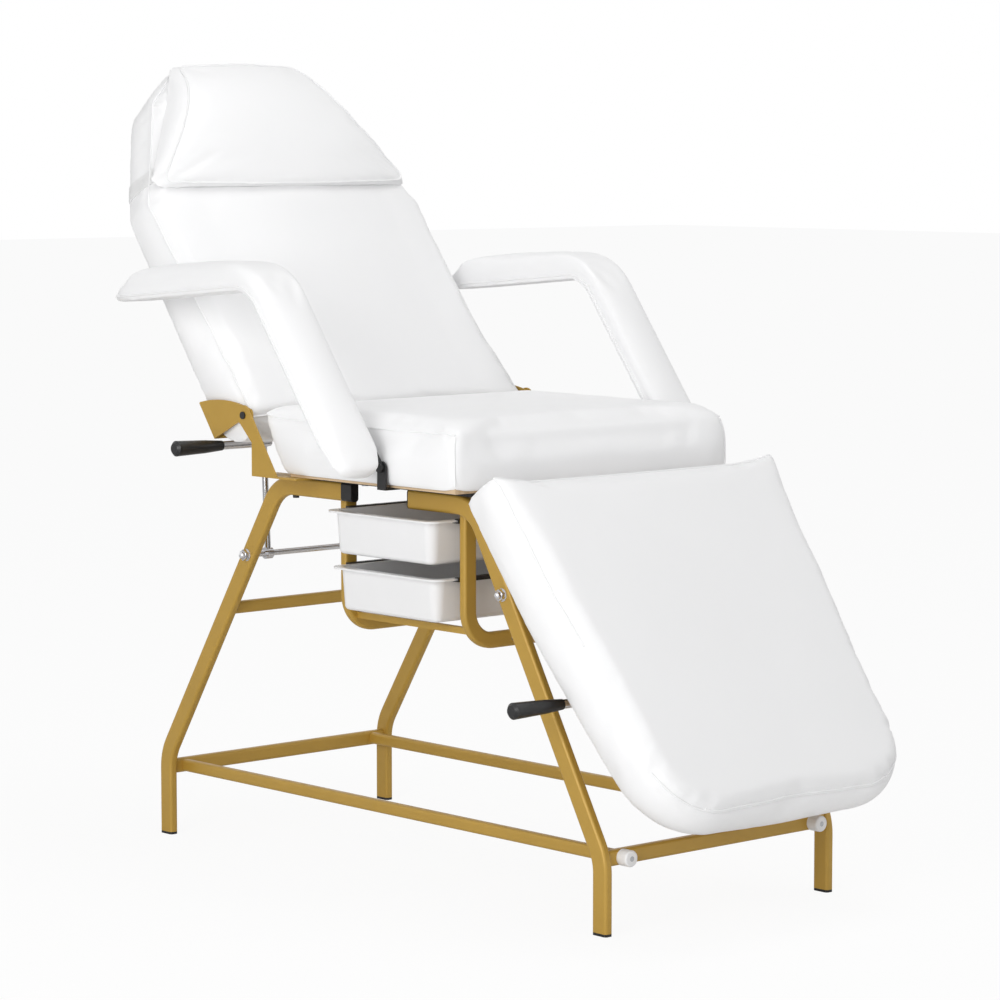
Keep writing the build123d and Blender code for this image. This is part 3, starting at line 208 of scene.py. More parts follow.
class Finish:
    """A shader with its own pattern nodes on the object's coordinates."""

    def __init__(self, name, colour, roughness, metallic=0.0):
        self.material = bpy.data.materials.new(name)
        self.material.use_nodes = True
        self.nodes = self.material.node_tree.nodes
        self.links = self.material.node_tree.links
        self.shader = self.nodes["Principled BSDF"]
        self.colour = colour
        self.shader.inputs["Base Color"].default_value = (*colour, 1)
        self.shader.inputs["Roughness"].default_value = roughness
        self.shader.inputs["Metallic"].default_value = metallic
        self.coordinates = self.nodes.new("ShaderNodeTexCoord").outputs["Object"]
        self.height = None
        finishes[name] = self.material

    def stretched(self, scale):
        mapping = self.nodes.new("ShaderNodeMapping")
        mapping.inputs["Scale"].default_value = scale
        self.links.new(self.coordinates, mapping.inputs["Vector"])
        return mapping.outputs["Vector"]

    def clouds(self, scale, detail=3.0, roughness=0.5, source=None):
        texture = self.nodes.new("ShaderNodeTexNoise")
        texture.inputs["Scale"].default_value = scale
        texture.inputs["Detail"].default_value = detail
        texture.inputs["Roughness"].default_value = roughness
        self.links.new(source or self.coordinates, texture.inputs["Vector"])
        return texture.outputs["Fac"]

    def pebbles(self, scale):
        texture = self.nodes.new("ShaderNodeTexVoronoi")
        texture.inputs["Scale"].default_value = scale
        self.links.new(self.coordinates, texture.inputs["Vector"])
        return texture.outputs["Distance"]

    def bands(self, scale, distortion, source, direction="X"):
        texture = self.nodes.new("ShaderNodeTexWave")
        texture.bands_direction = direction
        texture.inputs["Scale"].default_value = scale
        texture.inputs["Distortion"].default_value = distortion
        texture.inputs["Detail"].default_value = 3.0
        self.links.new(source, texture.inputs["Vector"])
        return texture.outputs["Fac"]

    def ranged(self, value, low, high, start=0.3, end=0.7):
        ranged = self.nodes.new("ShaderNodeMapRange")
        for name, number in (("From Min", start), ("From Max", end), ("To Min", low), ("To Max", high)):
            ranged.inputs[name].default_value = number
        self.links.new(value, ranged.inputs["Value"])
        return ranged.outputs["Result"]

    def tinted(self, value, dark, light):
        ramp = self.nodes.new("ShaderNodeValToRGB")
        ramp.color_ramp.elements[0].position = 0.3
        ramp.color_ramp.elements[1].position = 0.7
        ramp.color_ramp.elements[0].color = (*dark, 1)
        ramp.color_ramp.elements[1].color = (*light, 1)
        self.links.new(value, ramp.inputs["Fac"])
        self.links.new(ramp.outputs["Color"], self.shader.inputs["Base Color"])

    def shaded(self, value, share):
        self.tinted(value, [level * share for level in self.colour], self.colour)

    def rough(self, value, low, high):
        self.links.new(self.ranged(value, low, high), self.shader.inputs["Roughness"])

    def raised(self, value, height, strength=1.0):
        bump = self.nodes.new("ShaderNodeBump")
        bump.inputs["Distance"].default_value = height
        bump.inputs["Strength"].default_value = strength
        self.links.new(value, bump.inputs["Height"])
        if self.height:
            self.links.new(self.height, bump.inputs["Normal"])
        self.height = bump.outputs["Normal"]
        self.links.new(self.height, self.shader.inputs["Normal"])


def powder_coat(colour):
    finish = Finish("gold_paint", colour, 0.42, 0.15)
    finish.shaded(finish.clouds(14), 0.93)
    finish.rough(finish.clouds(60), 0.36, 0.48)
    finish.raised(finish.clouds(900, 2), 0.00012)
    finish.raised(finish.clouds(120, 2), 0.0001)


def coated_fabric(colour):
    finish = Finish("white_vinyl", colour, 0.42)
    finish.shader.inputs["Specular IOR Level"].default_value = 0.45
    finish.shader.inputs["Sheen Weight"].default_value = 0.04
    finish.shader.inputs["Sheen Roughness"].default_value = 0.5
    finish.shaded(finish.clouds(5, 4), 0.985)
    finish.rough(finish.clouds(35, 4), 0.38, 0.5)
    finish.raised(finish.pebbles(750), 0.00014, 0.5)
    finish.raised(finish.clouds(28, 4, 0.55), 0.0009, 0.3)


def moulded_white(colour):
    finish = Finish("white_plastic", colour, 0.34)
    finish.shaded(finish.clouds(9, 3), 0.98)
    finish.rough(finish.clouds(70), 0.28, 0.4)
    finish.raised(finish.clouds(1400, 2), 0.00006)


def soft_white(colour):
    finish = Finish("white_rubber", colour, 0.6)
    finish.shaded(finish.clouds(40), 0.93)
    finish.raised(finish.clouds(700, 3), 0.00012)


def moulded_black(colour):
    finish = Finish("black_plastic", colour, 0.38)
    finish.shaded(finish.clouds(60), 0.7)
    finish.rough(finish.clouds(150), 0.3, 0.46)
    finish.raised(finish.pebbles(1100), 0.0001, 0.6)


def satin_black(colour):
    finish = Finish("black_steel", colour, 0.4)
    finish.shaded(finish.clouds(40), 0.75)
    finish.rough(finish.clouds(90), 0.34, 0.5)
    finish.raised(finish.clouds(1000, 2), 0.0001)


def plated(colour):
    finish = Finish("chrome", colour, 0.1, 1.0)
    finish.shaded(finish.clouds(20), 0.96)
    finish.rough(finish.clouds(90, 4), 0.06, 0.16)


def zinc():
    finish = Finish("zinc_steel", (0.55, 0.56, 0.58), 0.32, 1.0)
    finish.shaded(finish.clouds(260, 3), 0.82)
    finish.rough(finish.clouds(400, 3), 0.26, 0.42)
    finish.raised(finish.clouds(900, 2, 0.5, finish.stretched((1, 8, 8))), 0.00003)


def plywood():
    finish = Finish("plywood", (0.62, 0.45, 0.28), 0.6)
    grain = finish.bands(22, 9, finish.stretched((1.0, 0.12, 0.12)))
    finish.tinted(grain, (0.57, 0.41, 0.25), (0.63, 0.47, 0.30))
    finish.rough(finish.clouds(60), 0.5, 0.7)
    finish.raised(finish.clouds(260, 4, 0.6, finish.stretched((1, 0.08, 0.08))), 0.0002)


def webbing():
    finish = Finish("elastic_webbing", (0.88, 0.88, 0.88), 0.7)
    ribs = finish.bands(420, 0.2, finish.coordinates, "X")
    finish.shaded(ribs, 0.93)
    finish.raised(ribs, 0.0003)
    finish.raised(finish.clouds(1800, 2), 0.0001)


class CHAIR_OT_finishes(Operator):
    """Mixes the chair's finishes and paints the fittings and tubes with them"""

    bl_idname = "chair.finishes"
    bl_label = "Finishes and fittings"

    def execute(self, context):
        colours = context.scene.chair_colours
        powder_coat(colours.gold)
        coated_fabric(colours.vinyl)
        moulded_white(colours.plastic)
        soft_white(colours.plastic)
        moulded_black(colours.black)
        satin_black(colours.black)
        plated(colours.chrome)
        zinc()
        plywood()
        webbing()
        for name, node in frame["nodes"].items():
            node.data.materials.clear()
            node.data.materials.append(finishes[slot_of_node[name]])
        return {"FINISHED"}


# Upholstery

cushions = {}
# Edges with a larger angle can carry a seam, and shorter seams are left out
SHARP = math.radians(24)
SHORT_SEAM = 0.06
SEAM_STEP = 0.005
MERGE = 0.00002
# A seam line ends where it would have to turn more than this
TURN_LIMIT = -0.3
# Points this near to a board stay on it
HELD_REACH = 0.004
FRONT_FACING = 0.8
UNEVEN_SCALE = 7.0
# The small folds reach this many seam widths from a seam
PUCKER_REACH = 5
PUCKER_SCALE = 42.0
PUCKER_LIFT = 0.2
# Share of its radius by which the piping stands out of the cover
PIPING_RISE = 0.35
PIPING_ROUNDS = 3
SEAM_TOLERANCE = 0.004
# Places of seams and creases: X across, S up a section, T out of its front face, Z above the floor
BACK_SEAM_T = -0.066
BACK_CREASE_X = 0.21
BACK_CREASE_S = 0.6
PILLOW_FACING = 0.7
LEG_SEAM_T = 0.104
SEAT_SEAM_Z = 0.727
SEAT_SEAM_FACING = 0.2
SEAT_CORNER_TOP_Z = 0.722
SEAT_HEM = 0.006
SEAT_FRONT = 0.02
SEAT_CORNER = 0.024
SEAT_NOSE = 0.03
SEAT_NOSE_Z = 0.7
SEAT_CORNER_ROUNDS = 14
SEAT_NOSE_ROUNDS = 18
ARM_FRONT = Vector((0, -0.5, 0.866))
ARM_SIDE_TOLERANCE = 0.002
ARM_BOARD_REACH = 0.001
ARM_LOWER_END = 0.045
ARM_LOWER_ROUNDS = 30
ARM_TAIL_END = 0.05
ARM_TAIL_ROUNDS = 16
STRAP_HALF_WIDTH = 0.015
STRAP_THICKNESS = 0.0014
STRAP_FURTHEST = 1.5
# Share of plain white that the camera sees in the floor; the rest shows the chair's shadow
FLOOR_GLOW = 0.92
KEY_LAMP = ((-4.2, -1.7, 1.7), (0, 0, 0.7), 2.6)
FILL_LAMP = ((0.6, -0.2, 4.4), (0, 0, 0.6), 2.4)


class Cushion:
    """A cover under way: its piece, the plain form that it keeps to and the lines of its seams."""

    def __init__(
        self, name, nodes, body, local, front, seam_kept, cell_share=1.0, rests_on=(), fill=0.7,
    ):
        settings = bpy.context.scene.chair_upholstery
        self.nodes, self.body, self.front, self.fill = nodes, body, front, fill
        self.inward = local.inverted()
        self.piece = plain_form(name, nodes)
        self.seams = seam_lines(self.piece.data, self.inward, seam_kept)
        self.form = surface_of(self.piece)
        self.held = held_points(rests_on)
        pick(self.piece)
        self.piece.data.remesh_voxel_size = settings.cell * cell_share
        bpy.ops.object.voxel_remesh()
        self.shrink(settings.tight)
        cushions[name] = self

    def shrink(self, depth):
        modifier = self.piece.modifiers.new("Cut smaller", "DISPLACE")
        modifier.strength = -depth
        modifier.mid_level = 0
        apply_modifier(self.piece, modifier)
        modifier = self.piece.modifiers.new("Even", "SMOOTH")
        modifier.iterations = 4
        apply_modifier(self.piece, modifier)

    def soften(self, near, repeat):
        # Rounds the corners where near(point in the section's frame) is true
        pick(self.piece)
        bpy.ops.object.mode_set(mode="EDIT")
        mesh = bmesh.from_edit_mesh(self.piece.data)
        for vertex in mesh.verts:
            vertex.select_set(near(self.inward @ vertex.co))
        mesh.select_flush(True)
        bmesh.update_edit_mesh(self.piece.data)
        bpy.ops.mesh.vertices_smooth(factor=0.5, repeat=repeat)
        bpy.ops.object.mode_set(mode="OBJECT")

    def ready_to_fill(self):
        settings = bpy.context.scene.chair_upholstery
        mesh = self.piece.data
        group = self.piece.vertex_groups.new(name="held")
        held = [
            v.index for v in mesh.vertices
            if self.held and near_surface(self.held, v.co, HELD_REACH)
        ]
        group.add(held, 1.0, "REPLACE")
        self.start = [v.co.copy() for v in mesh.vertices]
        cloth = self.piece.modifiers.new("Filling", "CLOTH")
        cloth.settings.quality = 4
        cloth.settings.mass = 0.4
        cloth.settings.tension_stiffness = 20
        cloth.settings.compression_stiffness = 20
        cloth.settings.shear_stiffness = 8
        cloth.settings.bending_stiffness = 1.5
        cloth.settings.use_pressure = True
        cloth.settings.uniform_pressure_force = settings.pressure
        cloth.settings.effector_weights.gravity = 0
        if held:
            cloth.settings.vertex_group_mass = group.name
            cloth.settings.pin_stiffness = 1.0
        cloth.collision_settings.use_collision = False
        cloth.point_cache.frame_start = 1
        cloth.point_cache.frame_end = settings.frames
        self.filling = cloth

    def filled(self):
        apply_modifier(self.piece, self.filling)
        settings = bpy.context.scene.chair_upholstery
        for vertex, start in zip(self.piece.data.vertices, self.start):
            move = vertex.co - start
            if move.length > settings.cap:
                vertex.co = start + move * (settings.cap / move.length)
            vertex.co = self.kept_in(vertex.co, settings)
        modifier = self.piece.modifiers.new("Stretched", "SMOOTH")
        modifier.iterations = 8
        apply_modifier(self.piece, modifier)

    def kept_in(self, point, settings):
        place, normal, _, _ = self.form.find_nearest(point)
        if place is None:
            return point
        swell = settings.front_swell if normal.dot(self.front) > FRONT_FACING else settings.side_swell
        out = (point - place).dot(normal)
        return point - normal * (out - swell) if out > swell else point

    def finish(self):
        settings = bpy.context.scene.chair_upholstery
        modifier = self.piece.modifiers.new("Finer", "SUBSURF")
        modifier.levels = modifier.render_levels = 1
        apply_modifier(self.piece, modifier)
        self.piece.vertex_groups.clear()
        self.pull_seams(settings)
        self.add_piping(settings)
        pick(self.piece)
        bpy.ops.object.shade_smooth()
        dress(self.piece, "white_vinyl")
        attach(self.piece, self.body)
        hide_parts(*self.nodes)

    def pull_seams(self, settings):
        finished = surface_of(self.piece)
        samples = [nearest(finished, p) for line in self.seams for p in evenly(line, SEAM_STEP / 2)]
        tree = kdtree.KDTree(max(len(samples), 1))
        for index, sample in enumerate(samples):
            tree.insert(sample, index)
        tree.balance()
        mesh = self.piece.data
        normals = [v.normal.copy() for v in mesh.vertices]
        for vertex, normal in zip(mesh.vertices, normals):
            point = vertex.co.copy()
            facing = max(0.0, normal.dot(self.front))
            depth = -settings.softness * noise.noise(point * UNEVEN_SCALE) * facing ** 2
            if samples:
                distance = tree.find(point)[2]
                if distance < settings.seam_width:
                    share = 1 - (distance / settings.seam_width) ** 2
                    depth += settings.seam_depth * share ** 2
                reach = PUCKER_REACH * settings.seam_width
                if distance < reach:
                    share = 1 - distance / reach
                    fold = noise.noise(point * PUCKER_SCALE) + PUCKER_LIFT
                    depth += settings.pucker * share * share * fold
            if self.held and near_surface(self.held, point, HELD_REACH):
                continue
            vertex.co = point - normal * depth
        mesh.update()

    def add_piping(self, settings):
        finished = surface_of(self.piece)
        for index, line in enumerate(self.seams):
            closed = (line[0] - line[-1]).length < MERGE * 10
            points = []
            for point in evenly(line, SEAM_STEP):
                place, normal, _, _ = finished.find_nearest(point)
                points.append(place + normal * (PIPING_RISE * settings.piping))
            points = even_line(points, closed, PIPING_ROUNDS)
            name = f"{self.piece.name}_piping_{index + 1}"
            piping = round_cord(name, points, settings.piping, closed)
            dress(piping, "white_vinyl")
            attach(piping, self.body)


def plain_form(name, nodes):
    copies = []
    for node in nodes:
        copy = bpy.data.objects.new(name, frame["nodes"][node].data.copy())
        bpy.context.scene.collection.objects.link(copy)
        copies.append(copy)
    clear_selection()
    for copy in copies:
        copy.select_set(True)
    bpy.context.view_layer.objects.active = copies[0]
    if len(copies) > 1:
        bpy.ops.object.join()
    piece = bpy.context.view_layer.objects.active
    piece.name = piece.data.name = name
    bpy.ops.object.mode_set(mode="EDIT")
    bpy.ops.mesh.select_all(action="SELECT")
    bpy.ops.mesh.remove_doubles(threshold=MERGE)
    bpy.ops.object.mode_set(mode="OBJECT")
    piece.data.materials.clear()
    return piece


def surface_of(piece):
    mesh = piece.data
    return BVHTree.FromPolygons([v.co for v in mesh.vertices], [list(p.vertices) for p in mesh.polygons])


def near_surface(tree, point, reach):
    return tree.find_nearest(point, reach)[0] is not None


def nearest(tree, point):
    return tree.find_nearest(point)[0]


def held_points(nodes):
    points, faces = [], []
    for node in nodes:
        mesh = frame["nodes"][node].data
        start = len(points)
        points += [v.co for v in mesh.vertices]
        faces += [[start + corner for corner in p.vertices] for p in mesh.polygons]
    return BVHTree.FromPolygons(points, faces) if faces else None


def seam_lines(mesh, inward, seam_kept):
    form = bmesh.new()
    form.from_mesh(mesh)
    turn = inward.to_3x3()
    edges = {}
    for edge in form.edges:
        if len(edge.link_faces) != 2 or edge.calc_face_angle() < SHARP:
            continue
        middle = inward @ ((edge.verts[0].co + edge.verts[1].co) / 2)
        normals = [turn @ face.normal for face in edge.link_faces]
        if seam_kept(middle, normals):
            edges[edge.index] = edge
    links = {}
    for index, edge in edges.items():
        for vertex in edge.verts:
            links.setdefault(vertex.index, []).append(index)
    left = set(edges)
    ends = [v for v in sorted(links) if len(links[v]) == 1]
    lines = []
    for start in ends + sorted(links):
        while any(index in left for index in links[start]):
            lines.append(walked(form, edges, links, left, start))
    form.free()
    return [line for line in lines if length_of(line) > SHORT_SEAM]


def walked(form, edges, links, left, start):
    form.verts.ensure_lookup_table()
    vertex = form.verts[start]
    line = [vertex.co.copy()]
    while True:
        options = [index for index in links[vertex.index] if index in left]
        if not options:
            return line
        if len(line) > 1:
            heading = (line[-1] - line[-2]).normalized()
            here = vertex

            def turn(index):
                other = edges[index].other_vert(here)
                return -heading.dot((other.co - here.co).normalized())

            options.sort(key=turn)
            if turn(options[0]) > TURN_LIMIT:
                return line
        left.discard(options[0])
        vertex = edges[options[0]].other_vert(vertex)
        line.append(vertex.co.copy())


def length_of(line):
    return sum((b - a).length for a, b in zip(line, line[1:]))


def evenly(line, step):
    total = length_of(line)
    count = max(2, round(total / step))
    points, walked_length, index = [], 0.0, 0
    for number in range(count + 1):
        target = total * number / count
        while index < len(line) - 2 and walked_length + (line[index + 1] - line[index]).length < target:
            walked_length += (line[index + 1] - line[index]).length
            index += 1
        span = (line[index + 1] - line[index]).length
        share = min(1.0, max(0.0, (target - walked_length) / span)) if span > 0 else 0.0
        points.append(line[index].lerp(line[index + 1], share))
    return points


def even_line(points, closed, rounds):
    points = points[:-1] if closed else points
    for _ in range(rounds):
        count = len(points)
        if closed:
            after = points[1:] + points[:1]
            points = [(points[i - 1] + points[i] * 2 + after[i]) / 4 for i in range(count)]
        else:
            inner = [(points[i - 1] + points[i] * 2 + points[i + 1]) / 4 for i in range(1, count - 1)]
            points = [points[0], *inner, points[-1]]
    return points


def round_cord(name, points, radius, closed):
    curve = bpy.data.curves.new(name, "CURVE")
    curve.dimensions = "3D"
    curve.bevel_depth = radius
    curve.bevel_resolution = 2
    curve.use_fill_caps = True
    spline = curve.splines.new("POLY")
    spline.points.add(len(points) - 1)
    for target, point in zip(spline.points, points):
        target.co = (*point, 1)
    spline.use_cyclic_u = closed
    spline.use_smooth = True
    cord = bpy.data.objects.new(name, curve)
    bpy.context.scene.collection.objects.link(cord)
    pick(cord)
    bpy.ops.object.convert(target="MESH")
    cord = bpy.context.view_layer.objects.active
    bpy.ops.object.shade_smooth()
    return cord


def any_facing(normals, axis, least):
    return any(normal[axis] > least for normal in normals)


class CHAIR_OT_backrest(Operator):
    """Cuts the backrest cushion's cover, with its side seams and its padded lower end"""

    bl_idname = "chair.backrest"
    bl_label = "Backrest cushion"

    def execute(self, context):
        def seam_kept(middle, normals):
            inner_crease = abs(middle.x) < BACK_CREASE_X and middle.y < BACK_CREASE_S
            return middle.z > BACK_SEAM_T and not inner_crease

        Cushion(
            "backrest_cushion_cover", ("backrest_cushion",), "backrest", back_place,
            back_place.to_3x3() @ Vector((0, 0, 1)), seam_kept, rests_on=("backrest_board",), fill=0.75,
        )
        return {"FINISHED"}


class CHAIR_OT_pillow(Operator):
    """Cuts the headrest pillow's cover, with the seam round its front panel"""

    bl_idname = "chair.pillow"
    bl_label = "Headrest pillow"

    def execute(self, context):
        def seam_kept(middle, normals):
            return any_facing(normals, 2, PILLOW_FACING)

        Cushion(
            "headrest_pillow_cover", ("headrest_pillow",), "backrest", back_place,
            back_place.to_3x3() @ Vector((0, 0, 1)), seam_kept, cell_share=0.74,
            rests_on=("backrest_cushion",), fill=0.6,
        )
        return {"FINISHED"}


class CHAIR_OT_seat(Operator):
    """Cuts the seat cushion's cover, with the seams along its sides and down its front corners"""

    bl_idname = "chair.seat"
    bl_label = "Seat cushion"

    def execute(self, context):
        low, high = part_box("seat_cushion")

        def seam_kept(middle, normals):
            on_side = abs(middle.x) > high.x - SEAM_TOLERANCE and middle.y > low.y + SEAT_FRONT
            at_seam = abs(middle.z - SEAT_SEAM_Z) < SEAM_TOLERANCE
            return on_side and at_seam and any_facing(normals, 2, SEAT_SEAM_FACING)

        def front_corner(point):
            return point.y < low.y + SEAT_FRONT and abs(point.x) > high.x - SEAT_CORNER

        def front_edge(point):
            return point.y < low.y + SEAT_NOSE and point.z > SEAT_NOSE_Z

        seat = Cushion(
            "seat_cushion_cover", ("seat_cushion",), "frame", Matrix.Identity(4), Vector((0, 0, 1)),
            seam_kept, rests_on=("seat_board", "seat_rails"), fill=0.8,
        )
        seat.soften(front_corner, SEAT_CORNER_ROUNDS)
        seat.soften(front_edge, SEAT_NOSE_ROUNDS)
        for side in (-1, 1):
            heights = (SEAT_CORNER_TOP_Z, low.z + SEAT_HEM)
            seat.seams.append([Vector((side * high.x, low.y, height)) for height in heights])
        return {"FINISHED"}


class CHAIR_OT_legrest(Operator):
    """Cuts the legrest cushion's cover, with the seam round its front panel"""

    bl_idname = "chair.legrest"
    bl_label = "Legrest cushion"

    def execute(self, context):
        def seam_kept(middle, normals):
            return abs(middle.z - LEG_SEAM_T) < SEAM_TOLERANCE

        Cushion(
            "legrest_cushion_cover", ("legrest_cushion",), "legrest", leg_place,
            leg_place.to_3x3() @ Vector((0, 0, 1)), seam_kept, rests_on=("legrest_board",), fill=0.75,
        )
        return {"FINISHED"}


class CHAIR_OT_armrests(Operator):
    """Cuts both armrests' covers, which wrap the pad and the board inside it"""

    bl_idname = "chair.armrests"
    bl_label = "Armrest pads"

    def execute(self, context):
        for side in ("left", "right"):
            board = surface_of(frame["nodes"][f"armrest_board_{side}"])
            low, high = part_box(f"armrest_pad_{side}")

            def seam_kept(middle, normals):
                on_side = min(abs(middle.x - low.x), abs(middle.x - high.x)) < ARM_SIDE_TOLERANCE
                return on_side and near_surface(board, middle, ARM_BOARD_REACH)

            arm = Cushion(
                f"armrest_{side}_cover", (f"armrest_pad_{side}", f"armrest_board_{side}"),
                f"armrest_{side}", Matrix.Identity(4), ARM_FRONT, seam_kept,
                cell_share=0.8, rests_on=(f"armrest_board_{side}",), fill=0.7,
            )
            pad = plain_form("pad_line", (f"armrest_pad_{side}",))
            arm.seams = seam_lines(pad.data, Matrix.Identity(4), seam_kept)
            bpy.data.objects.remove(pad)

            def lower_end(point):
                return point.z < low.z + ARM_LOWER_END

            def tail_end(point):
                return point.y > high.y - ARM_TAIL_END

            arm.soften(lower_end, ARM_LOWER_ROUNDS)
            arm.soften(tail_end, ARM_TAIL_ROUNDS)
        return {"FINISHED"}


class CHAIR_OT_fill(Operator):
    """Fills all the covers, then sews their seams and piping"""

    bl_idname = "chair.fill"
    bl_label = "Fill and sew the covers"

    def execute(self, context):
        scene = context.scene
        if not cushions:
            raise RuntimeError("cut the covers first")
        for cushion in cushions.values():
            cushion.ready_to_fill()
        scene.frame_start = 1
        scene.frame_end = scene.chair_upholstery.frames
        for number in range(1, scene.chair_upholstery.frames + 1):
            scene.frame_set(number)
        for cushion in cushions.values():
            cushion.filled()
        scene.frame_set(1)
        for cushion in cushions.values():
            cushion.finish()
        return {"FINISHED"}


class CHAIR_OT_strap(Operator):
    """Cuts the pillow's elastic strap from a copy of the filled backrest, so that it lies close"""

    bl_idname = "chair.strap"
    bl_label = "Headrest strap"

    def execute(self, context):
        cover = cushions["backrest_cushion_cover"].piece
        strap = bpy.data.objects.new("headrest_strap_band", cover.data.copy())
        context.scene.collection.objects.link(strap)
        low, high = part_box("headrest_strap")
        centre = (low + high) / 2
        along = back_place.to_3x3() @ Vector((0, 1, 0))
        middle = back_place @ Vector((0, (back_place.inverted() @ centre).y, 0))
        pick(strap)
        for way in (-1, 1):
            bpy.ops.object.mode_set(mode="EDIT")
            bpy.ops.mesh.select_all(action="SELECT")
            bpy.ops.mesh.bisect(
                plane_co=middle + along * (way * STRAP_HALF_WIDTH),
                plane_no=along * way, clear_outer=True,
            )
            bpy.ops.object.mode_set(mode="OBJECT")
        thick = strap.modifiers.new("Thickness", "SOLIDIFY")
        thick.thickness = STRAP_THICKNESS
        thick.offset = 1
        apply_modifier(strap, thick)
        pick(strap)
        bpy.ops.object.shade_smooth_by_angle(angle=math.radians(40))
        dress(strap, "elastic_webbing")
        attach(strap, "backrest")
        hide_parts("headrest_strap")
        if (Vector(strap.bound_box[0]) - centre).length > STRAP_FURTHEST:
            raise RuntimeError("the strap is not on the backrest")
        return {"FINISHED"}


def lamp(name, place, target, size, power):
    bpy.ops.object.light_add(type="AREA", location=place)
    light = bpy.context.object
    light.name = name
    light.data.shape = "DISK"
    light.data.size = size
    light.data.energy = power
    light.rotation_euler = (Vector(target) - Vector(place)).to_track_quat("-Z", "Y").to_euler()
    return light


def white_world(strength, behind):
    world = bpy.data.worlds.new("studio")
    bpy.context.scene.world = world
    world.use_nodes = True
    nodes, links = world.node_tree.nodes, world.node_tree.links
    background = nodes["Background"]
    background.inputs["Color"].default_value = (1, 1, 1, 1)
    seen = nodes.new("ShaderNodeBackground")
    seen.inputs["Color"].default_value = (1, 1, 1, 1)
    seen.inputs["Strength"].default_value = 1.0
    direction = nodes.new("ShaderNodeTexCoord")
    split = nodes.new("ShaderNodeSeparateXYZ")
    links.new(direction.outputs["Generated"], split.inputs["Vector"])
    depth = nodes.new("ShaderNodeMapRange")
    levels = (("From Min", 1), ("From Max", -1), ("To Min", strength * behind), ("To Max", strength))
    for name, number in levels:
        depth.inputs[name].default_value = number
    links.new(split.outputs["Y"], depth.inputs["Value"])
    links.new(depth.outputs["Result"], background.inputs["Strength"])
    path = nodes.new("ShaderNodeLightPath")
    shown = nodes.new("ShaderNodeMath")
    shown.operation = "MAXIMUM"
    links.new(path.outputs["Is Camera Ray"], shown.inputs[0])
    links.new(path.outputs["Is Glossy Ray"], shown.inputs[1])
    both = nodes.new("ShaderNodeMath")
    both.operation = "MAXIMUM"
    links.new(shown.outputs[0], both.inputs[0])
    links.new(path.outputs["Is Transmission Ray"], both.inputs[1])
    mix = nodes.new("ShaderNodeMixShader")
    links.new(both.outputs[0], mix.inputs["Fac"])
    links.new(background.outputs[0], mix.inputs[1])
    links.new(seen.outputs[0], mix.inputs[2])
    links.new(mix.outputs[0], nodes["World Output"].inputs["Surface"])


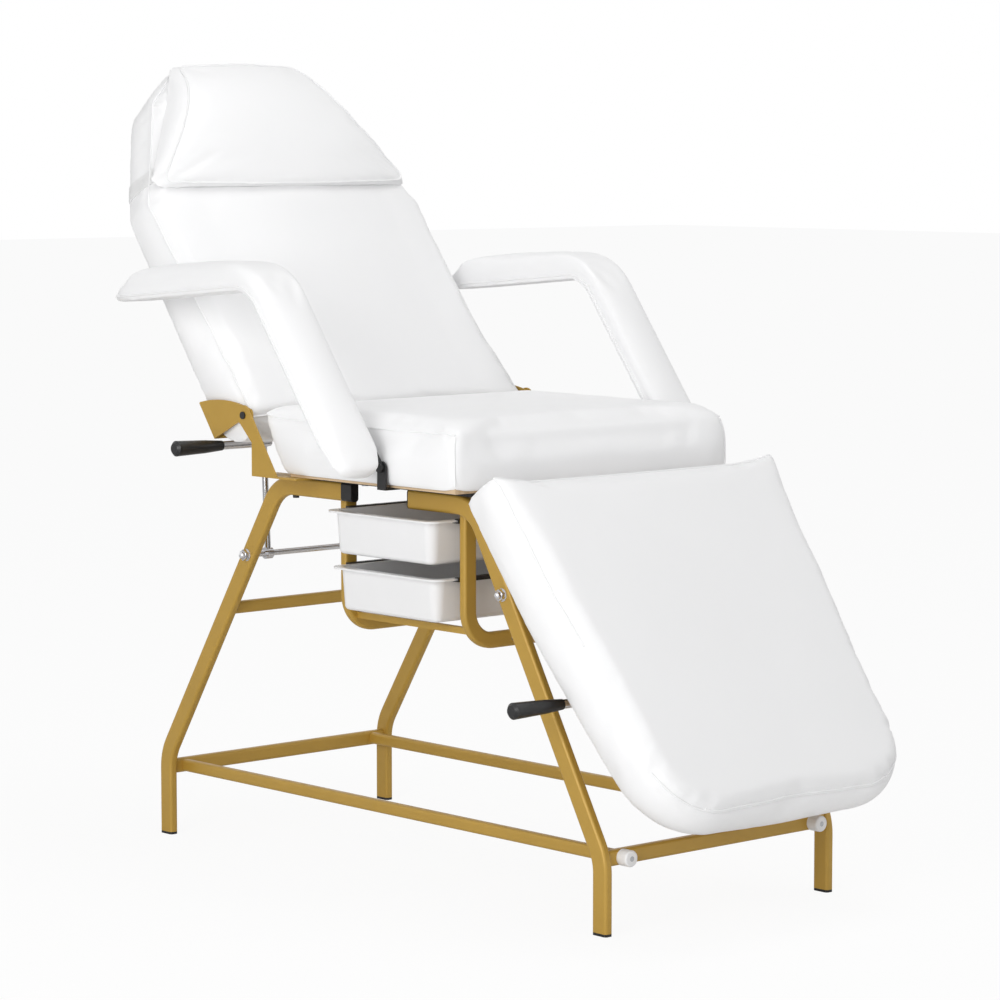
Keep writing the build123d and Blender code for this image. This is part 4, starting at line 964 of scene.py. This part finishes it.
class CHAIR_OT_studio(Operator):
    """Lays the pale floor, lights the stage and sets the camera up"""

    bl_idname = "chair.studio"
    bl_label = "Studio"

    def execute(self, context):
        studio = context.scene.chair_studio
        clear_selection()
        bpy.ops.mesh.primitive_plane_add(size=60, location=(0, 0, 0))
        floor = context.object
        floor.name = "floor"
        paint = bpy.data.materials.new("floor_paint")
        paint.use_nodes = True
        nodes, links = paint.node_tree.nodes, paint.node_tree.links
        shader = nodes["Principled BSDF"]
        shader.inputs["Base Color"].default_value = (0.93, 0.93, 0.93, 1)
        shader.inputs["Roughness"].default_value = 0.9
        shader.inputs["Specular IOR Level"].default_value = 0.1
        glow = nodes.new("ShaderNodeEmission")
        glow.inputs["Color"].default_value = (1, 1, 1, 1)
        glow.inputs["Strength"].default_value = 1.0
        path = nodes.new("ShaderNodeLightPath")
        seen = nodes.new("ShaderNodeMath")
        seen.operation = "MULTIPLY"
        seen.inputs[1].default_value = FLOOR_GLOW
        links.new(path.outputs["Is Camera Ray"], seen.inputs[0])
        mix = nodes.new("ShaderNodeMixShader")
        links.new(seen.outputs[0], mix.inputs["Fac"])
        links.new(shader.outputs[0], mix.inputs[1])
        links.new(glow.outputs[0], mix.inputs[2])
        links.new(mix.outputs[0], nodes["Material Output"].inputs["Surface"])
        floor.data.materials.append(paint)
        white_world(studio.sky, studio.behind)
        lamp("key_lamp", *KEY_LAMP, studio.key)
        lamp("fill_lamp", *FILL_LAMP, studio.fill)
        bpy.ops.object.camera_add(location=studio.place)
        camera = context.object
        turn = Matrix.Rotation(studio.azimuth, 4, "Z")
        tilt = Matrix.Rotation(math.pi / 2 - studio.elevation, 4, "X")
        camera.rotation_euler = (turn @ tilt).to_euler()
        camera.data.sensor_width = 36
        camera.data.lens = studio.lens
        camera.data.clip_end = 100
        context.scene.camera = camera
        context.scene.view_settings.view_transform = "Standard"
        return {"FINISHED"}


class CHAIR_PT_steps(Panel):
    """Lists the steps that build the chair"""

    bl_idname = "CHAIR_PT_steps"
    bl_label = "Treatment chair"
    bl_space_type = "VIEW_3D"
    bl_region_type = "UI"
    bl_category = "Chair"

    def draw(self, context):
        for step in steps:
            self.layout.operator(step.bl_idname)
        scene = context.scene
        for group in (scene.chair_colours, scene.chair_upholstery, scene.chair_studio):
            for name in group.__annotations__:
                self.layout.prop(group, name)


steps = (
    CHAIR_OT_finishes,
    CHAIR_OT_backrest,
    CHAIR_OT_pillow,
    CHAIR_OT_seat,
    CHAIR_OT_legrest,
    CHAIR_OT_armrests,
    CHAIR_OT_fill,
    CHAIR_OT_strap,
    CHAIR_OT_studio,
)
groups = (ChairColours, ChairUpholstery, ChairStudio)


def register():
    for listed in (*groups, *steps, CHAIR_PT_steps):
        bpy.utils.register_class(listed)
    bpy.types.Scene.chair_colours = PointerProperty(type=ChairColours)
    bpy.types.Scene.chair_upholstery = PointerProperty(type=ChairUpholstery)
    bpy.types.Scene.chair_studio = PointerProperty(type=ChairStudio)


def unregister():
    del bpy.types.Scene.chair_studio
    del bpy.types.Scene.chair_upholstery
    del bpy.types.Scene.chair_colours
    for listed in reversed((*groups, *steps, CHAIR_PT_steps)):
        bpy.utils.unregister_class(listed)


def main():
    register()
    bpy.ops.chair.finishes()
    bpy.ops.chair.backrest()
    bpy.ops.chair.pillow()
    bpy.ops.chair.seat()
    bpy.ops.chair.legrest()
    bpy.ops.chair.armrests()
    bpy.ops.chair.fill()
    bpy.ops.chair.strap()
    bpy.ops.chair.studio()


if __name__ == "__main__":
    main()
